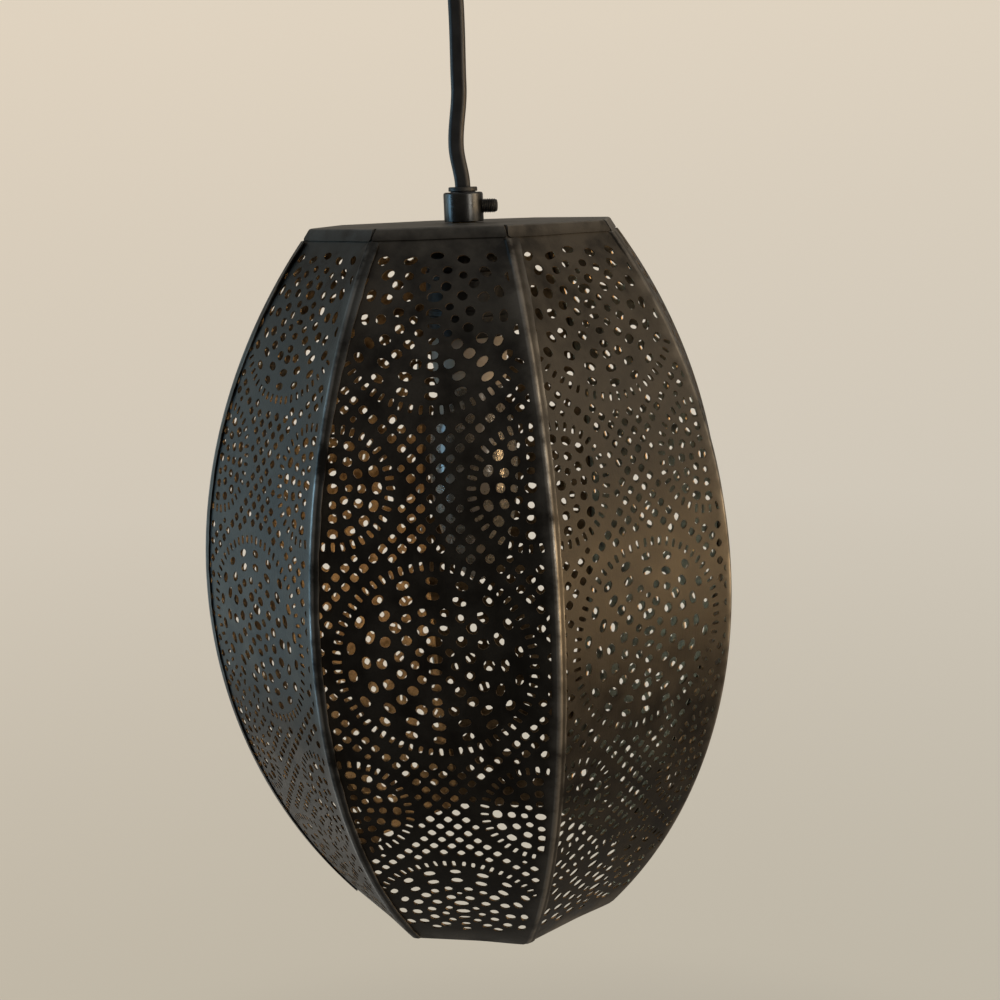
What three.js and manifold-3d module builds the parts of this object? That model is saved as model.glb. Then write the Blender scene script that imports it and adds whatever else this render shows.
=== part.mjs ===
// A pierced Moroccan lantern that hangs on a short flat flex from a ceiling cup, with the lampholder
// and candle lamp inside its shade. Millimetres, +Z up. The origin lies on the ceiling, on the axis.

import * as THREE from "three";
import { mergeVertices } from "three/addons/utils/BufferGeometryUtils.js";
import Module from "manifold-3d";

// Clearances
const fitGap = 0.3; // between two pieces that seat on each other or screw together
const swingGap = 0.65; // between an end of the free flex and the flex held in its bush

// Shade: flat sheet panels, each bent about a level line, that meet at ridges
const shadeHeight = 290;
const shadeSides = 8;
const waistRadius = 113; // out to a ridge, half way up
const rimRadius = 61; // out to a ridge, at the top and at the bottom
const sheetThickness = 0.8;
const panelSteps = 8; // straight facets that make one panel's bend

// Each panel's right edge turns round the ridge and laps over the next panel
const lapWidth = 3.5;
const lapRootWidth = 1.4;
const lapOverrun = 0.1;
const lapEndGap = 1;

// Piercing, measured on the panel's sheet: round medallions down the middle, half ones along the ridges and
// a lattice of diamonds between them
const topMargin = 9.5;
const bottomMargin = 5;
const sideMargin = 4;
const medallionPitch = 123.5; // from one medallion's centre to the next, along the panel
const medallionRows = [-1, 0, 1]; // pitches above the waist, with the side medallions half way between them
const sideMedallionInset = 8.7; // of the side medallions' centres, from the ridge at the waist
const holeSides = 4;
const mainRings = [
  { radius: 0, count: 1, across: 7, along: 7 },
  { radius: 14.5, count: 6, across: 9, along: 9 },
  { radius: 29, count: 11, across: 10.5, along: 9.5 },
];
const sideRings = [
  { radius: 0, count: 1, across: 8, along: 8 },
  { radius: 14, count: 6, across: 10, along: 9 },
];
const latticeAcross = 9.5; // from one column of diamonds to the next, which stands half a step higher
const latticeUp = 19;
const latticeHole = 10.5;
const latticeGap = 1.5; // from a diamond to the nearest medallion's outer ring

// Top plate: its lips are turned down over the panels
const lipLength = 5;
const lipNotch = 1;

// Cord grip, a collar on the top plate whose side screw clamps the flex
const gripRadius = 7.9;
const gripHeight = 11.5;
const gripEdge = 1.2;
const bushRadius = 5.75;
const bushHeight = 1.7;
const bushShankLength = 2;
const bushMouth = 0.9; // how much wider the bush's mouth is than its bore
const setScrewRadius = 2.8;
const setScrewHeight = 6; // its axis, above the collar's foot
const setScrewReach = 5.7; // how far it stands out of the collar
const setScrewNeck = 0.5;
const setScrewSlotWidth = 1;
const setScrewSlotDepth = 1.5;

// Threaded tube with its washer and nut, which hold collar, plate and lampholder together
const tubeRadius = 5;
const tubeBore = 3.75;
const tubeEntry = 2.6; // into the collar
const tubeEnd = 2.5; // past the neck of the holder's cap
const washerRadius = 9;
const washerThickness = 1;
const nutFlats = 14;
const nutThickness = 3;

// Lampholder
const holderRadius = 16.5;
const holderWall = 1.6;
const holderNeckRadius = 8;
const holderNeckHeight = 4;
const holderCapHeight = 16;
const holderBodyHeight = 23;
const holderMouthRadius = 9;
const coreThickness = 3.2;
const shellRadius = 8.3;
const shellWall = 0.7;
const shellLength = 16.5;
const shellFlangeRadius = 11;
const tongueWidth = 3;
const tongueThickness = 0.4;
const tongueDrop = 2;

// Candle lamp: its cap screws into the holder's shell
const capRadius = 7;
const capWall = 0.6;
const capLength = 12.2;
const insulatorHeight = 2.1;
const contactRadius = 2.4;
const contactHeight = 1.6;
const neckRadius = 15.5;
const neckHeight = 19.6;
const neckChamfer = 2.2;
const envelopeRadius = 18.5;
const envelopeLength = 85.5;
const envelopeNeck = 12.6;
const envelopeWall = 0.8;

// Flat twin flex
const flexWidth = 6.2;
const flexThickness = 3.8;
const flexArcSteps = 4;
const flexSteps = 18;

// The free flex hangs from the mouth of the ceiling grip down to the bush: sideways place and height, from its
// upper end. It bows to one side above the collar.
const flexRoute = [
  [0, 0],
  [0, -2],
  [0.1, -6],
  [0.2, -13],
  [0.2, -20],
  [0.1, -27],
  [0, -34],
  [-0.05, -41],
  [-0.46, -46],
  [-1.14, -51],
  [-1.8, -56.5],
  [-2, -61],
  [-1.83, -64],
  [-1.38, -67],
  [-0.71, -70.5],
  [-0.17, -74],
  [0, -77],
  [0, -78],
];

// Ceiling cup, its grip and what it covers
const cupRadius = 40;
const cupHeight = 30;
const cupWall = 1;
const cupFloorRadius = 22;
const cupBowlHeight = 20; // of its rounded lower part
const cupBowlSteps = 4;
const ceilingGripRadius = 7.5;
const ceilingGripHeight = 7.7;
const ceilingGripStem = 8; // above the cup's floor
const mouthDepth = 1; // from a grip's or bush's mouth to the end of the free flex
const barEndGap = 3; // from the bar's ears to the cup's wall
const barWidth = 14;
const barThickness = 2;
const earLength = 13;
const slotPlace = 23;
const slotLength = 12;
const slotWidth = 4.5;
const cupScrewRadius = 1.5;
const cupScrewHeadRadius = 4;
const cupScrewHead = 2.5;
const cupScrewDrop = 8; // its axis, below the ceiling
const blockLength = 24;
const blockWidth = 13;
const blockHeight = 10.7;
const blockScrewPlace = 8.5;
const wireHoleRadius = 1.4;
const wireHoleSpacing = 3.2;
const wireHoleDepth = 7;

// Facets of round pieces
const fineTurn = 24;
const turn = 16;

const wasm = await Module();
wasm.setup();

// Geometry with shared corners and without empty triangles, its faces pointing out
function closedMesh(source) {
  const geometry = source.clone();
  geometry.deleteAttribute("normal");
  geometry.deleteAttribute("uv");
  const merged = mergeVertices(geometry, 1e-4);
  const place = merged.attributes.position;
  const corner = [new THREE.Vector3(), new THREE.Vector3(), new THREE.Vector3()];
  const kept = [];
  let volume = 0;
  for (let i = 0; i < merged.index.count; i += 3) {
    const [a, b, c] = [0, 1, 2].map((j) => merged.index.getX(i + j));
    if (a === b || b === c || c === a) continue;
    [a, b, c].forEach((index, j) => corner[j].fromBufferAttribute(place, index));
    volume += corner[0].dot(corner[1].cross(corner[2])) / 6;
    kept.push([a, b, c]);
  }
  const out = kept.map(([a, b, c]) => (volume > 0 ? [a, b, c] : [a, c, b]));
  merged.setIndex(out.flat());
  return merged;
}

function solidOf(geometry) {
  const mesh = closedMesh(geometry);
  return new wasm.Manifold(
    new wasm.Mesh({
      numProp: 3,
      vertProperties: new Float32Array(mesh.attributes.position.array),
      triVerts: new Uint32Array(mesh.index.array),
    }),
  );
}

function geometryOf(solid) {
  const mesh = solid.getMesh();
  const geometry = new THREE.BufferGeometry();
  geometry.setAttribute("position", new THREE.BufferAttribute(new Float32Array(mesh.vertProperties), 3));
  geometry.setIndex(new THREE.BufferAttribute(new Uint32Array(mesh.triVerts), 1));
  return geometry;
}

// A profile of [radius, height] points turned about Z. It runs up the outside and down the inside.
function turned(profile, steps = turn) {
  const first = profile[0];
  const closes = first[0] > 0;
  const points = (closes ? [...profile, first] : profile).map(([r, z]) => new THREE.Vector2(r, z));
  return closedMesh(new THREE.LatheGeometry(points, steps).rotateX(Math.PI / 2));
}

function ring(inner, outer, low, high, steps = turn) {
  return turned([[outer, low], [outer, high], [inner, high], [inner, low]], steps);
}

// A round bar along X
function barAlongX(radius, from, to, z, steps = turn) {
  return new THREE.CylinderGeometry(radius, radius, to - from, steps)
    .rotateZ(Math.PI / 2)
    .translate((from + to) / 2, 0, z);
}

// A round bar along Z
function barAlongZ(radius, from, to, x, y, steps = turn) {
  return new THREE.CylinderGeometry(radius, radius, to - from, steps)
    .rotateX(Math.PI / 2)
    .translate(x, y, (from + to) / 2);
}

function polygon(radius, sides, turnedBy = 0) {
  const points = [];
  for (let i = 0; i < sides; i += 1) {
    const angle = turnedBy + (2 * Math.PI * i) / sides;
    points.push(new THREE.Vector2(radius * Math.cos(angle), radius * Math.sin(angle)));
  }
  return points;
}

function extruded(points, depth, holes = []) {
  const shape = new THREE.Shape(points);
  shape.holes = holes.map((hole) => new THREE.Path(hole));
  return new THREE.ExtrudeGeometry(shape, { depth, bevelEnabled: false });
}

function hexNut(low) {
  const corner = nutFlats / 2 / Math.cos(Math.PI / 6);
  const bore = polygon(tubeRadius + fitGap, turn);
  return extruded(polygon(corner, 6), nutThickness, [bore]).translate(0, 0, low);
}

// The flex's section: two half rounds joined by flats, wide along the second axis
function flexSection() {
  const round = flexThickness / 2;
  const centre = flexWidth / 2 - round;
  const points = [];
  for (const side of [1, -1]) {
    for (let i = 0; i <= flexArcSteps; i += 1) {
      const angle = (Math.PI * i) / flexArcSteps;
      points.push(new THREE.Vector2(side * round * Math.cos(angle), side * (centre + round * Math.sin(angle))));
    }
  }
  return points;
}

function straightFlex(low, high) {
  return extruded(flexSection(), high - low)
    .rotateZ(Math.PI / 2)
    .translate(0, 0, low);
}

// Panel geometry. Heights are measured from the waist, and the first panel faces -Y.
const sideAngle = (2 * Math.PI) / shadeSides;
const ridgeToFlat = Math.cos(sideAngle / 2);
const halfHeight = shadeHeight / 2;
const bulge = (waistRadius - rimRadius) * ridgeToFlat;
const bendRadius = (halfHeight ** 2 + bulge ** 2) / (2 * bulge);
const bendCentre = waistRadius * ridgeToFlat - bendRadius;
const rimAngle = Math.asin(halfHeight / bendRadius);
const panelTop = halfHeight - sheetThickness - fitGap;
const lipLow = halfHeight - lipLength * Math.cos(rimAngle);
const lapTop = lipLow - lapEndGap;
const lapLow = lapEndGap - halfHeight;
const far = 2 * waistRadius;

// How far from the axis the panel's outer face is, at a height and an offset outwards from that face
function flatAt(height, offset = 0) {
  return bendCentre + Math.sqrt((bendRadius + offset) ** 2 - height ** 2);
}

// Half of the panel's width, at an angle up its bend
function halfWidthAt(angle) {
  return flatAt(bendRadius * Math.sin(angle)) * Math.tan(sideAngle / 2);
}

// A bent sheet between two offsets from the panel's outer face, wider than the panel. Every sheet has the
// same facets, so that sheets at different offsets stay parallel.
function bentSheet(inner, outer) {
  const points = [];
  const edge = (offset, upwards) => {
    for (let i = 0; i <= panelSteps; i += 1) {
      const angle = upwards * rimAngle * ((2 * i) / panelSteps - 1);
      const radius = bendRadius + offset;
      points.push(new THREE.Vector2(bendCentre + radius * Math.cos(angle), radius * Math.sin(angle)));
    }
  };
  edge(outer, 1);
  edge(inner, -1);
  const across = new THREE.Matrix4().makeBasis(
    new THREE.Vector3(0, -1, 0),
    new THREE.Vector3(0, 0, 1),
    new THREE.Vector3(-1, 0, 0),
  );
  across.setPosition(waistRadius, 0, 0);
  return solidOf(extruded(points, 2 * waistRadius).applyMatrix4(across));
}

// The wedge of space that belongs to one panel, drawn in from both ridges, between two heights
function panelWedge(inset, low, high) {
  const apex = inset / Math.sin(sideAngle / 2);
  const spread = (far - apex) * Math.tan(sideAngle / 2);
  const points = [[0, -apex], [-spread, -far], [spread, -far]].map(([x, y]) => new THREE.Vector2(x, y));
  return solidOf(extruded(points, high - low).translate(0, 0, low));
}

// A slab along the panel's right ridge, as high as the lap, between two distances towards the next panel
function ridgeSlab(from, to) {
  return solidOf(
    new THREE.BoxGeometry(to - from, far, lapTop - lapLow)
      .translate((from + to) / 2, -far / 2, (lapTop + lapLow) / 2)
      .rotateZ(sideAngle / 2),
  );
}

// A prism through the sheet, its oval section turned in the sheet's plane
function holePrism(across, up, width, length, turnedBy) {
  const angle = up / bendRadius;
  const outline = polygon(1, holeSides).map(
    (point) => new THREE.Vector2((point.x * width) / 2, (point.y * length) / 2),
  );
  const depth = 8 * sheetThickness;
  const normal = new THREE.Vector3(0, -Math.cos(angle), Math.sin(angle));
  const upSheet = new THREE.Vector3(0, Math.sin(angle), Math.cos(angle));
  const place = new THREE.Matrix4().makeBasis(new THREE.Vector3(1, 0, 0), upSheet, normal);
  place.setPosition(across, -bendCentre - bendRadius * Math.cos(angle), bendRadius * Math.sin(angle));
  return extruded(outline, depth)
    .translate(0, 0, -depth / 2)
    .rotateZ(turnedBy)
    .applyMatrix4(place);
}

// Half of the width that may be pierced, at a distance up the sheet
function clearHalfAt(up) {
  return halfWidthAt(up / bendRadius) - sideMargin;
}

function medallionHoles({ across, up, rings }) {
  const holes = [];
  for (const ring of rings) {
    for (let i = 0; i < ring.count; i += 1) {
      const angle = (2 * Math.PI * i) / ring.count;
      const x = across - ring.radius * Math.sin(angle);
      const y = up + ring.radius * Math.cos(angle);
      if (Math.abs(x) < clearHalfAt(y)) holes.push(holePrism(x, y, ring.across, ring.along, angle));
    }
  }
  return holes;
}

// Diamonds in staggered columns, wherever no medallion is near
function latticeHoles(medallions) {
  const holes = [];
  const columns = Math.ceil(waistRadius / latticeAcross);
  const rows = Math.ceil(halfHeight / latticeUp) + 1;
  for (let column = -columns; column <= columns; column += 1) {
    for (let row = -rows; row <= rows; row += 1) {
      const x = column * latticeAcross;
      const y = (row + (column % 2 === 0 ? 0.5 : 0)) * latticeUp;
      const clear = medallions.every(({ across, up, rings }) => {
        const outer = rings.at(-1);
        const reach = outer.radius + (outer.along + latticeHole) / 2 + latticeGap;
        return Math.hypot(x - across, y - up) > reach;
      });
      if (clear && Math.abs(x) < clearHalfAt(y)) holes.push(holePrism(x, y, latticeHole, latticeHole, 0));
    }
  }
  return holes;
}

function pierced(sheet) {
  const sidePlace = waistRadius * Math.sin(sideAngle / 2) - sideMedallionInset;
  const medallions = medallionRows.map((row) => ({ across: 0, up: row * medallionPitch, rings: mainRings }));
  for (const row of medallionRows.slice(1)) {
    const between = (row - 0.5) * medallionPitch;
    medallions.push({ across: -sidePlace, up: between, rings: sideRings });
    medallions.push({ across: sidePlace, up: between, rings: sideRings });
  }
  const clear = panelWedge(
    sideMargin * ridgeToFlat,
    bottomMargin * Math.cos(rimAngle) - halfHeight,
    halfHeight - topMargin * Math.cos(rimAngle),
  );
  let result = sheet;
  for (const hole of [...medallions.flatMap(medallionHoles), ...latticeHoles(medallions)]) {
    result = result.subtract(solidOf(hole).intersect(clear));
  }
  return result;
}

function panelGeometry() {
  const wedge = panelWedge(fitGap / 2, -shadeHeight, panelTop);
  const sheet = bentSheet(-sheetThickness, 0).intersect(wedge);
  const lapOuter = fitGap + sheetThickness;
  const outerSheet = bentSheet(fitGap, lapOuter);
  const root = bentSheet(-sheetThickness, lapOuter).intersect(ridgeSlab(-lapRootWidth, -fitGap / 2));
  const bend = outerSheet.intersect(ridgeSlab(-lapRootWidth, lapOverrun));
  const lap = outerSheet
    .rotate([0, 0, THREE.MathUtils.radToDeg(sideAngle)])
    .intersect(ridgeSlab(-lapOverrun, lapWidth));
  return geometryOf(pierced(sheet).add(root).add(bend).add(lap));
}

function topPlateGeometry() {
  const lapOuter = fitGap + sheetThickness;
  const corner = flatAt(halfHeight, lapOuter) / ridgeToFlat;
  const outline = polygon(corner, shadeSides, sideAngle / 2 - Math.PI / 2);
  const hole = polygon(tubeRadius + fitGap, turn);
  const plate = extruded(outline, sheetThickness, [hole]).translate(0, 0, halfHeight - sheetThickness);
  const lip = bentSheet(fitGap, lapOuter).intersect(panelWedge(lipNotch, lipLow, halfHeight));
  let result = solidOf(plate);
  for (let i = 0; i < shadeSides; i += 1) {
    result = result.add(lip.rotate([0, 0, THREE.MathUtils.radToDeg(sideAngle * i)]));
  }
  return geometryOf(result);
}

// Materials
function metal(color, roughness) {
  return new THREE.MeshStandardMaterial({ color, roughness, metalness: 0.9 });
}

function plastic(color, roughness) {
  return new THREE.MeshStandardMaterial({ color, roughness, metalness: 0 });
}

const antiqueIron = () => metal("#38342f", 0.5);
const darkBrass = () => metal("#4a4238", 0.45);
const steel = () => metal("#9a9a98", 0.4);
const brass = () => metal("#b08d4a", 0.35);
const blackPlastic = () => plastic("#141414", 0.5);
const palePlastic = () => plastic("#d8d6d0", 0.5);
const greyPlastic = () => plastic("#8d8f90", 0.6);
const frostedGlass = () => plastic("#c9cbca", 0.3);

function addPiece(parent, name, geometry, material) {
  const mesh = new THREE.Mesh(geometry, material);
  mesh.name = name;
  parent.add(mesh);
  return mesh;
}

// Ceiling fitting, heights measured down from the ceiling
const barHalfLength = cupRadius - cupWall - barEndGap;

function cupProfile() {
  const bowlTop = cupBowlHeight - cupHeight;
  const bowl = (inset) => {
    const points = [];
    for (let i = 0; i <= cupBowlSteps; i += 1) {
      const angle = (Math.PI * i) / (2 * cupBowlSteps);
      const out = (cupRadius - cupFloorRadius - inset) * Math.sin(angle);
      points.push([cupFloorRadius + out, bowlTop - (cupBowlHeight - inset) * Math.cos(angle)]);
    }
    return points;
  };
  const wall = [...bowl(0), [cupRadius, 0]];
  const inner = [[cupRadius - cupWall, 0], ...bowl(cupWall).reverse()];
  const hole = tubeRadius + fitGap;
  return [[hole, -cupHeight], ...wall, ...inner, [hole, cupWall - cupHeight]];
}

function ceilingCup() {
  const hole = cupScrewRadius + fitGap;
  const drill = barAlongX(hole, -cupRadius - 1, cupRadius + 1, -cupScrewDrop, 12);
  return geometryOf(solidOf(turned(cupProfile(), fineTurn)).subtract(solidOf(drill)));
}

function mountingBar() {
  const outline = [
    [-barHalfLength, 0],
    [-barHalfLength, -earLength],
    [barThickness - barHalfLength, -earLength],
    [barThickness - barHalfLength, -barThickness],
    [barHalfLength - barThickness, -barThickness],
    [barHalfLength - barThickness, -earLength],
    [barHalfLength, -earLength],
    [barHalfLength, 0],
  ].map(([x, z]) => new THREE.Vector2(x, z));
  const strap = extruded(outline, barWidth).rotateX(Math.PI / 2).translate(0, barWidth / 2, 0);
  const earHole = cupScrewRadius + fitGap;
  let result = solidOf(strap);
  result = result.subtract(
    solidOf(barAlongX(earHole, -barHalfLength - 1, barHalfLength + 1, -cupScrewDrop, 12)),
  );
  for (const side of [-1, 1]) {
    const slot = new THREE.BoxGeometry(slotLength, slotWidth, 4 * barThickness);
    result = result.subtract(solidOf(slot.translate(side * slotPlace, 0, 0)));
  }
  const blockHole = barAlongZ(earHole, -2 * barThickness, barThickness, blockScrewPlace, 0, 12);
  return geometryOf(result.subtract(solidOf(blockHole)));
}

function cupScrew() {
  const wallOuter = cupRadius + fitGap;
  const tip = barHalfLength - barThickness - 1;
  const profile = [
    [0, tip],
    [cupScrewRadius, tip],
    [cupScrewRadius, wallOuter],
    [cupScrewHeadRadius, wallOuter],
    [cupScrewHeadRadius, wallOuter + cupScrewHead],
    [0, wallOuter + cupScrewHead],
  ];
  return turned(profile, 12).rotateY(Math.PI / 2).translate(0, 0, -cupScrewDrop);
}

function terminalBlock() {
  const top = -barThickness - fitGap;
  const low = top - blockHeight;
  const block = new THREE.BoxGeometry(blockLength, blockWidth, blockHeight);
  let result = solidOf(block.translate(0, 0, (top + low) / 2));
  for (const side of [-1, 1]) {
    const wire = barAlongZ(wireHoleRadius, low - 1, low + wireHoleDepth, 0, side * wireHoleSpacing, 8);
    result = result.subtract(solidOf(wire));
  }
  const screwHole = barAlongZ(cupScrewRadius + fitGap, low - 1, top + 1, blockScrewPlace, 0, 12);
  return geometryOf(result.subtract(solidOf(screwHole)));
}

function blockScrew() {
  const headTop = -barThickness - 2 * fitGap - blockHeight;
  const headRadius = 1.8 * cupScrewRadius;
  const headHeight = 1.2 * cupScrewRadius;
  const profile = [
    [0, headTop - headHeight],
    [headRadius, headTop - headHeight],
    [headRadius, headTop],
    [cupScrewRadius, headTop],
    [cupScrewRadius, -fitGap],
    [0, -fitGap],
  ];
  return turned(profile, 12).translate(blockScrewPlace, 0, 0);
}

const ceilingGripLow = -cupHeight - fitGap - ceilingGripHeight;
const flexTop = ceilingGripLow + mouthDepth;

function ceilingGrip() {
  const shoulder = -cupHeight - fitGap;
  const profile = [
    [tubeBore + 1, ceilingGripLow],
    [ceilingGripRadius - 1, ceilingGripLow],
    [ceilingGripRadius, ceilingGripLow + 1.5],
    [ceilingGripRadius, shoulder],
    [tubeRadius, shoulder],
    [tubeRadius, ceilingGripStem - cupHeight],
    [tubeBore, ceilingGripStem - cupHeight],
    [tubeBore, ceilingGripLow + 2 * mouthDepth],
  ];
  return turned(profile);
}

function buildCeilingFitting() {
  const group = new THREE.Group();
  addPiece(group, "mounting_bar", mountingBar(), steel());
  addPiece(group, "ceiling_cup", ceilingCup(), antiqueIron());
  addPiece(group, "cup_screw_right", cupScrew(), darkBrass());
  addPiece(group, "cup_screw_left", cupScrew(), darkBrass()).rotation.z = Math.PI;
  addPiece(group, "terminal_block", terminalBlock(), palePlastic());
  addPiece(group, "terminal_screw", blockScrew(), steel());
  addPiece(group, "ceiling_grip", ceilingGrip(), blackPlastic());
  addPiece(group, "ceiling_grip_nut", hexNut(cupWall + fitGap - cupHeight), blackPlastic());
  const tailTop = -barThickness - 2 * fitGap - blockHeight;
  addPiece(group, "ceiling_flex_tail", straightFlex(flexTop + swingGap, tailTop), blackPlastic());
  return group;
}

// Free flex
function freeFlex() {
  const route = new THREE.CatmullRomCurve3(flexRoute.map(([x, z]) => new THREE.Vector3(x, 0, z)));
  const shape = new THREE.Shape(flexSection());
  const options = { steps: flexSteps, extrudePath: route, bevelEnabled: false };
  return closedMesh(new THREE.ExtrudeGeometry(shape, options));
}

// Cord grip on the top plate, heights measured from the top plate's upper face
const gripTop = fitGap + gripHeight;
const bushTop = gripTop + fitGap + bushHeight;
const setScrewAxis = fitGap + setScrewHeight;

function cordGrip() {
  const bore = tubeRadius + fitGap;
  const profile = [
    [gripRadius, fitGap],
    [gripRadius, gripTop - gripEdge],
    [gripRadius - 0.3 * gripEdge, gripTop - 0.3 * gripEdge],
    [gripRadius - gripEdge, gripTop],
    [bore, gripTop],
    [bore, fitGap],
  ];
  const screwHole = barAlongX(setScrewRadius + fitGap, tubeBore, gripRadius + 1, setScrewAxis, 16);
  return geometryOf(solidOf(turned(profile)).subtract(solidOf(screwHole)));
}

function gripBush() {
  const flange = gripTop + fitGap;
  const low = gripTop - bushShankLength;
  const bore = tubeBore;
  return turned([
    [tubeRadius, low],
    [tubeRadius, flange],
    [bushRadius, flange],
    [bushRadius, bushTop - 0.5],
    [bushRadius - 0.5, bushTop],
    [bore + bushMouth, bushTop],
    [bore, bushTop - 1.5 * mouthDepth],
    [bore, low],
  ]);
}

function setScrew() {
  const tip = flexWidth / 2 + fitGap;
  const end = gripRadius + setScrewReach;
  const profile = [
    [0, tip],
    [setScrewRadius - setScrewNeck, tip],
    [setScrewRadius - setScrewNeck, gripRadius + setScrewNeck],
    [setScrewRadius, gripRadius + 2 * setScrewNeck],
    [setScrewRadius, end],
    [0, end],
  ];
  const body = turned(profile, 16).rotateY(Math.PI / 2).translate(0, 0, setScrewAxis);
  const slot = new THREE.BoxGeometry(2 * setScrewSlotDepth, 3 * setScrewRadius, setScrewSlotWidth);
  return geometryOf(solidOf(body).subtract(solidOf(slot.translate(end, 0, setScrewAxis))));
}

// The stack under the top plate
const washerTop = -sheetThickness - fitGap;
const nutTop = washerTop - washerThickness - fitGap;
const holderTop = nutTop - nutThickness - fitGap;
const holderJoin = holderTop - holderCapHeight;
const holderBodyTop = holderJoin - fitGap;
const holderMouth = holderBodyTop - holderBodyHeight;
const coreTop = holderBodyTop - fitGap;
const shellTop = coreTop - coreThickness - fitGap;
const tubeLow = holderTop - holderNeckHeight - holderWall - tubeEnd;

function holderCap() {
  const shoulder = holderTop - holderNeckHeight;
  return turned([
    [holderRadius, holderJoin],
    [holderRadius, shoulder - 2.5 * holderWall],
    [holderRadius - holderWall, shoulder - holderWall],
    [holderNeckRadius, shoulder],
    [holderNeckRadius, holderTop],
    [tubeRadius + fitGap, holderTop],
    [tubeRadius + fitGap, shoulder - holderWall],
    [holderRadius - 2 * holderWall, shoulder - 2.2 * holderWall],
    [holderRadius - holderWall, shoulder - 3 * holderWall],
    [holderRadius - holderWall, holderJoin],
  ]);
}

function holderBody() {
  return turned([
    [holderMouthRadius, holderMouth],
    [holderRadius, holderMouth],
    [holderRadius, holderBodyTop],
    [holderRadius - holderWall, holderBodyTop],
    [holderRadius - holderWall, holderMouth + holderWall],
    [holderMouthRadius, holderMouth + holderWall],
  ]);
}

function screwShell() {
  const low = shellTop - shellLength;
  return turned([
    [shellRadius, low],
    [shellRadius, shellTop - shellWall],
    [shellFlangeRadius, shellTop - shellWall],
    [shellFlangeRadius, shellTop],
    [shellRadius - shellWall, shellTop],
    [shellRadius - shellWall, low],
  ]);
}

function contactTongue() {
  const reach = shellRadius - shellWall - 2 * fitGap - tongueWidth / 2;
  const top = [[-reach, shellTop], [-reach / 3, shellTop], [reach / 2, shellTop - tongueDrop]];
  const under = [...top].reverse().map(([x, z]) => [x - (x > 0 ? 0 : 0.01), z - tongueThickness]);
  const outline = [...top, ...under].map(([x, z]) => new THREE.Vector2(x, z));
  return extruded(outline, tongueWidth).rotateX(Math.PI / 2).translate(0, tongueWidth / 2, 0);
}

// Candle lamp, its heights worked out from the holder's mouth and the tongue
const neckTop = holderMouth - fitGap;
const capLow = neckTop + fitGap;
const capTop = capLow + capLength;
const insulatorTop = capTop + fitGap + insulatorHeight;
const neckLow = neckTop - neckHeight;
const envelopeTop = neckLow - fitGap;

function lampNeck() {
  const stem = capRadius - capWall - fitGap;
  return turned([
    [0, neckLow],
    [neckRadius - neckChamfer / 2, neckLow],
    [neckRadius, neckLow + neckChamfer],
    [neckRadius, neckTop - neckChamfer],
    [neckRadius - neckChamfer, neckTop],
    [stem, neckTop],
    [stem, capTop],
    [0, capTop],
  ]);
}

function lampInsulator() {
  return turned([
    [0, insulatorTop - insulatorHeight],
    [capRadius - capWall, insulatorTop - insulatorHeight],
    [contactRadius + capWall, insulatorTop],
    [0, insulatorTop],
  ]);
}

function lampContact() {
  const low = insulatorTop + fitGap;
  return turned([
    [0, low],
    [contactRadius, low],
    [0.7 * contactRadius, low + 0.75 * contactHeight],
    [0, low + contactHeight],
  ]);
}

// The candle's outline from its tip up to its neck: share of its length, share of its radius
const candleOutline = [
  [0.015, 0.2],
  [0.07, 0.43],
  [0.2, 0.72],
  [0.38, 0.93],
  [0.6, 1],
  [0.8, 0.92],
  [0.94, 0.74],
];

function lampEnvelope() {
  const tip = envelopeTop - envelopeLength;
  const outer = candleOutline.map(([up, out]) => [out * envelopeRadius, tip + up * envelopeLength]);
  const inner = [...outer].reverse().map(([r, z]) => [r - envelopeWall, z + envelopeWall / 2]);
  return turned(
    [
      [0, tip],
      ...outer,
      [envelopeNeck, envelopeTop],
      [envelopeNeck - envelopeWall, envelopeTop],
      ...inner,
      [0, tip + envelopeWall],
    ],
    fineTurn,
  );
}

function buildLamp() {
  const group = new THREE.Group();
  addPiece(group, "lamp_contact", lampContact(), brass());
  addPiece(group, "lamp_insulator", lampInsulator(), blackPlastic());
  addPiece(group, "lamp_cap", ring(capRadius - capWall, capRadius, capLow, capTop), steel());
  addPiece(group, "lamp_neck", lampNeck(), palePlastic());
  addPiece(group, "lamp_envelope", lampEnvelope(), frostedGlass());
  return group;
}

function buildHolder() {
  const group = new THREE.Group();
  const bore = tubeRadius + fitGap;
  addPiece(group, "threaded_tube", ring(tubeBore, tubeRadius, tubeLow, fitGap + tubeEntry), brass());
  addPiece(group, "washer", ring(bore, washerRadius, washerTop - washerThickness, washerTop), steel());
  addPiece(group, "lock_nut", hexNut(nutTop - nutThickness), brass());
  addPiece(group, "holder_cap", holderCap(), blackPlastic());
  addPiece(group, "holder_body", holderBody(), blackPlastic());
  const coreRadius = holderRadius - holderWall - fitGap;
  const coreLow = coreTop - coreThickness;
  const core = turned([
    [0, coreLow],
    [coreRadius, coreLow],
    [coreRadius, coreTop],
    [0, coreTop],
  ]);
  addPiece(group, "holder_core", core, greyPlastic());
  addPiece(group, "screw_shell", screwShell(), brass());
  addPiece(group, "contact_tongue", contactTongue(), brass());
  const tail = straightFlex(tubeLow - 1, bushTop - mouthDepth - swingGap);
  addPiece(group, "lamp_flex_tail", tail, blackPlastic());
  return group;
}

function buildCordGrip() {
  const group = new THREE.Group();
  addPiece(group, "cord_grip", cordGrip(), antiqueIron());
  addPiece(group, "grip_bush", gripBush(), blackPlastic());
  addPiece(group, "set_screw", setScrew(), blackPlastic());
  return group;
}

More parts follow.
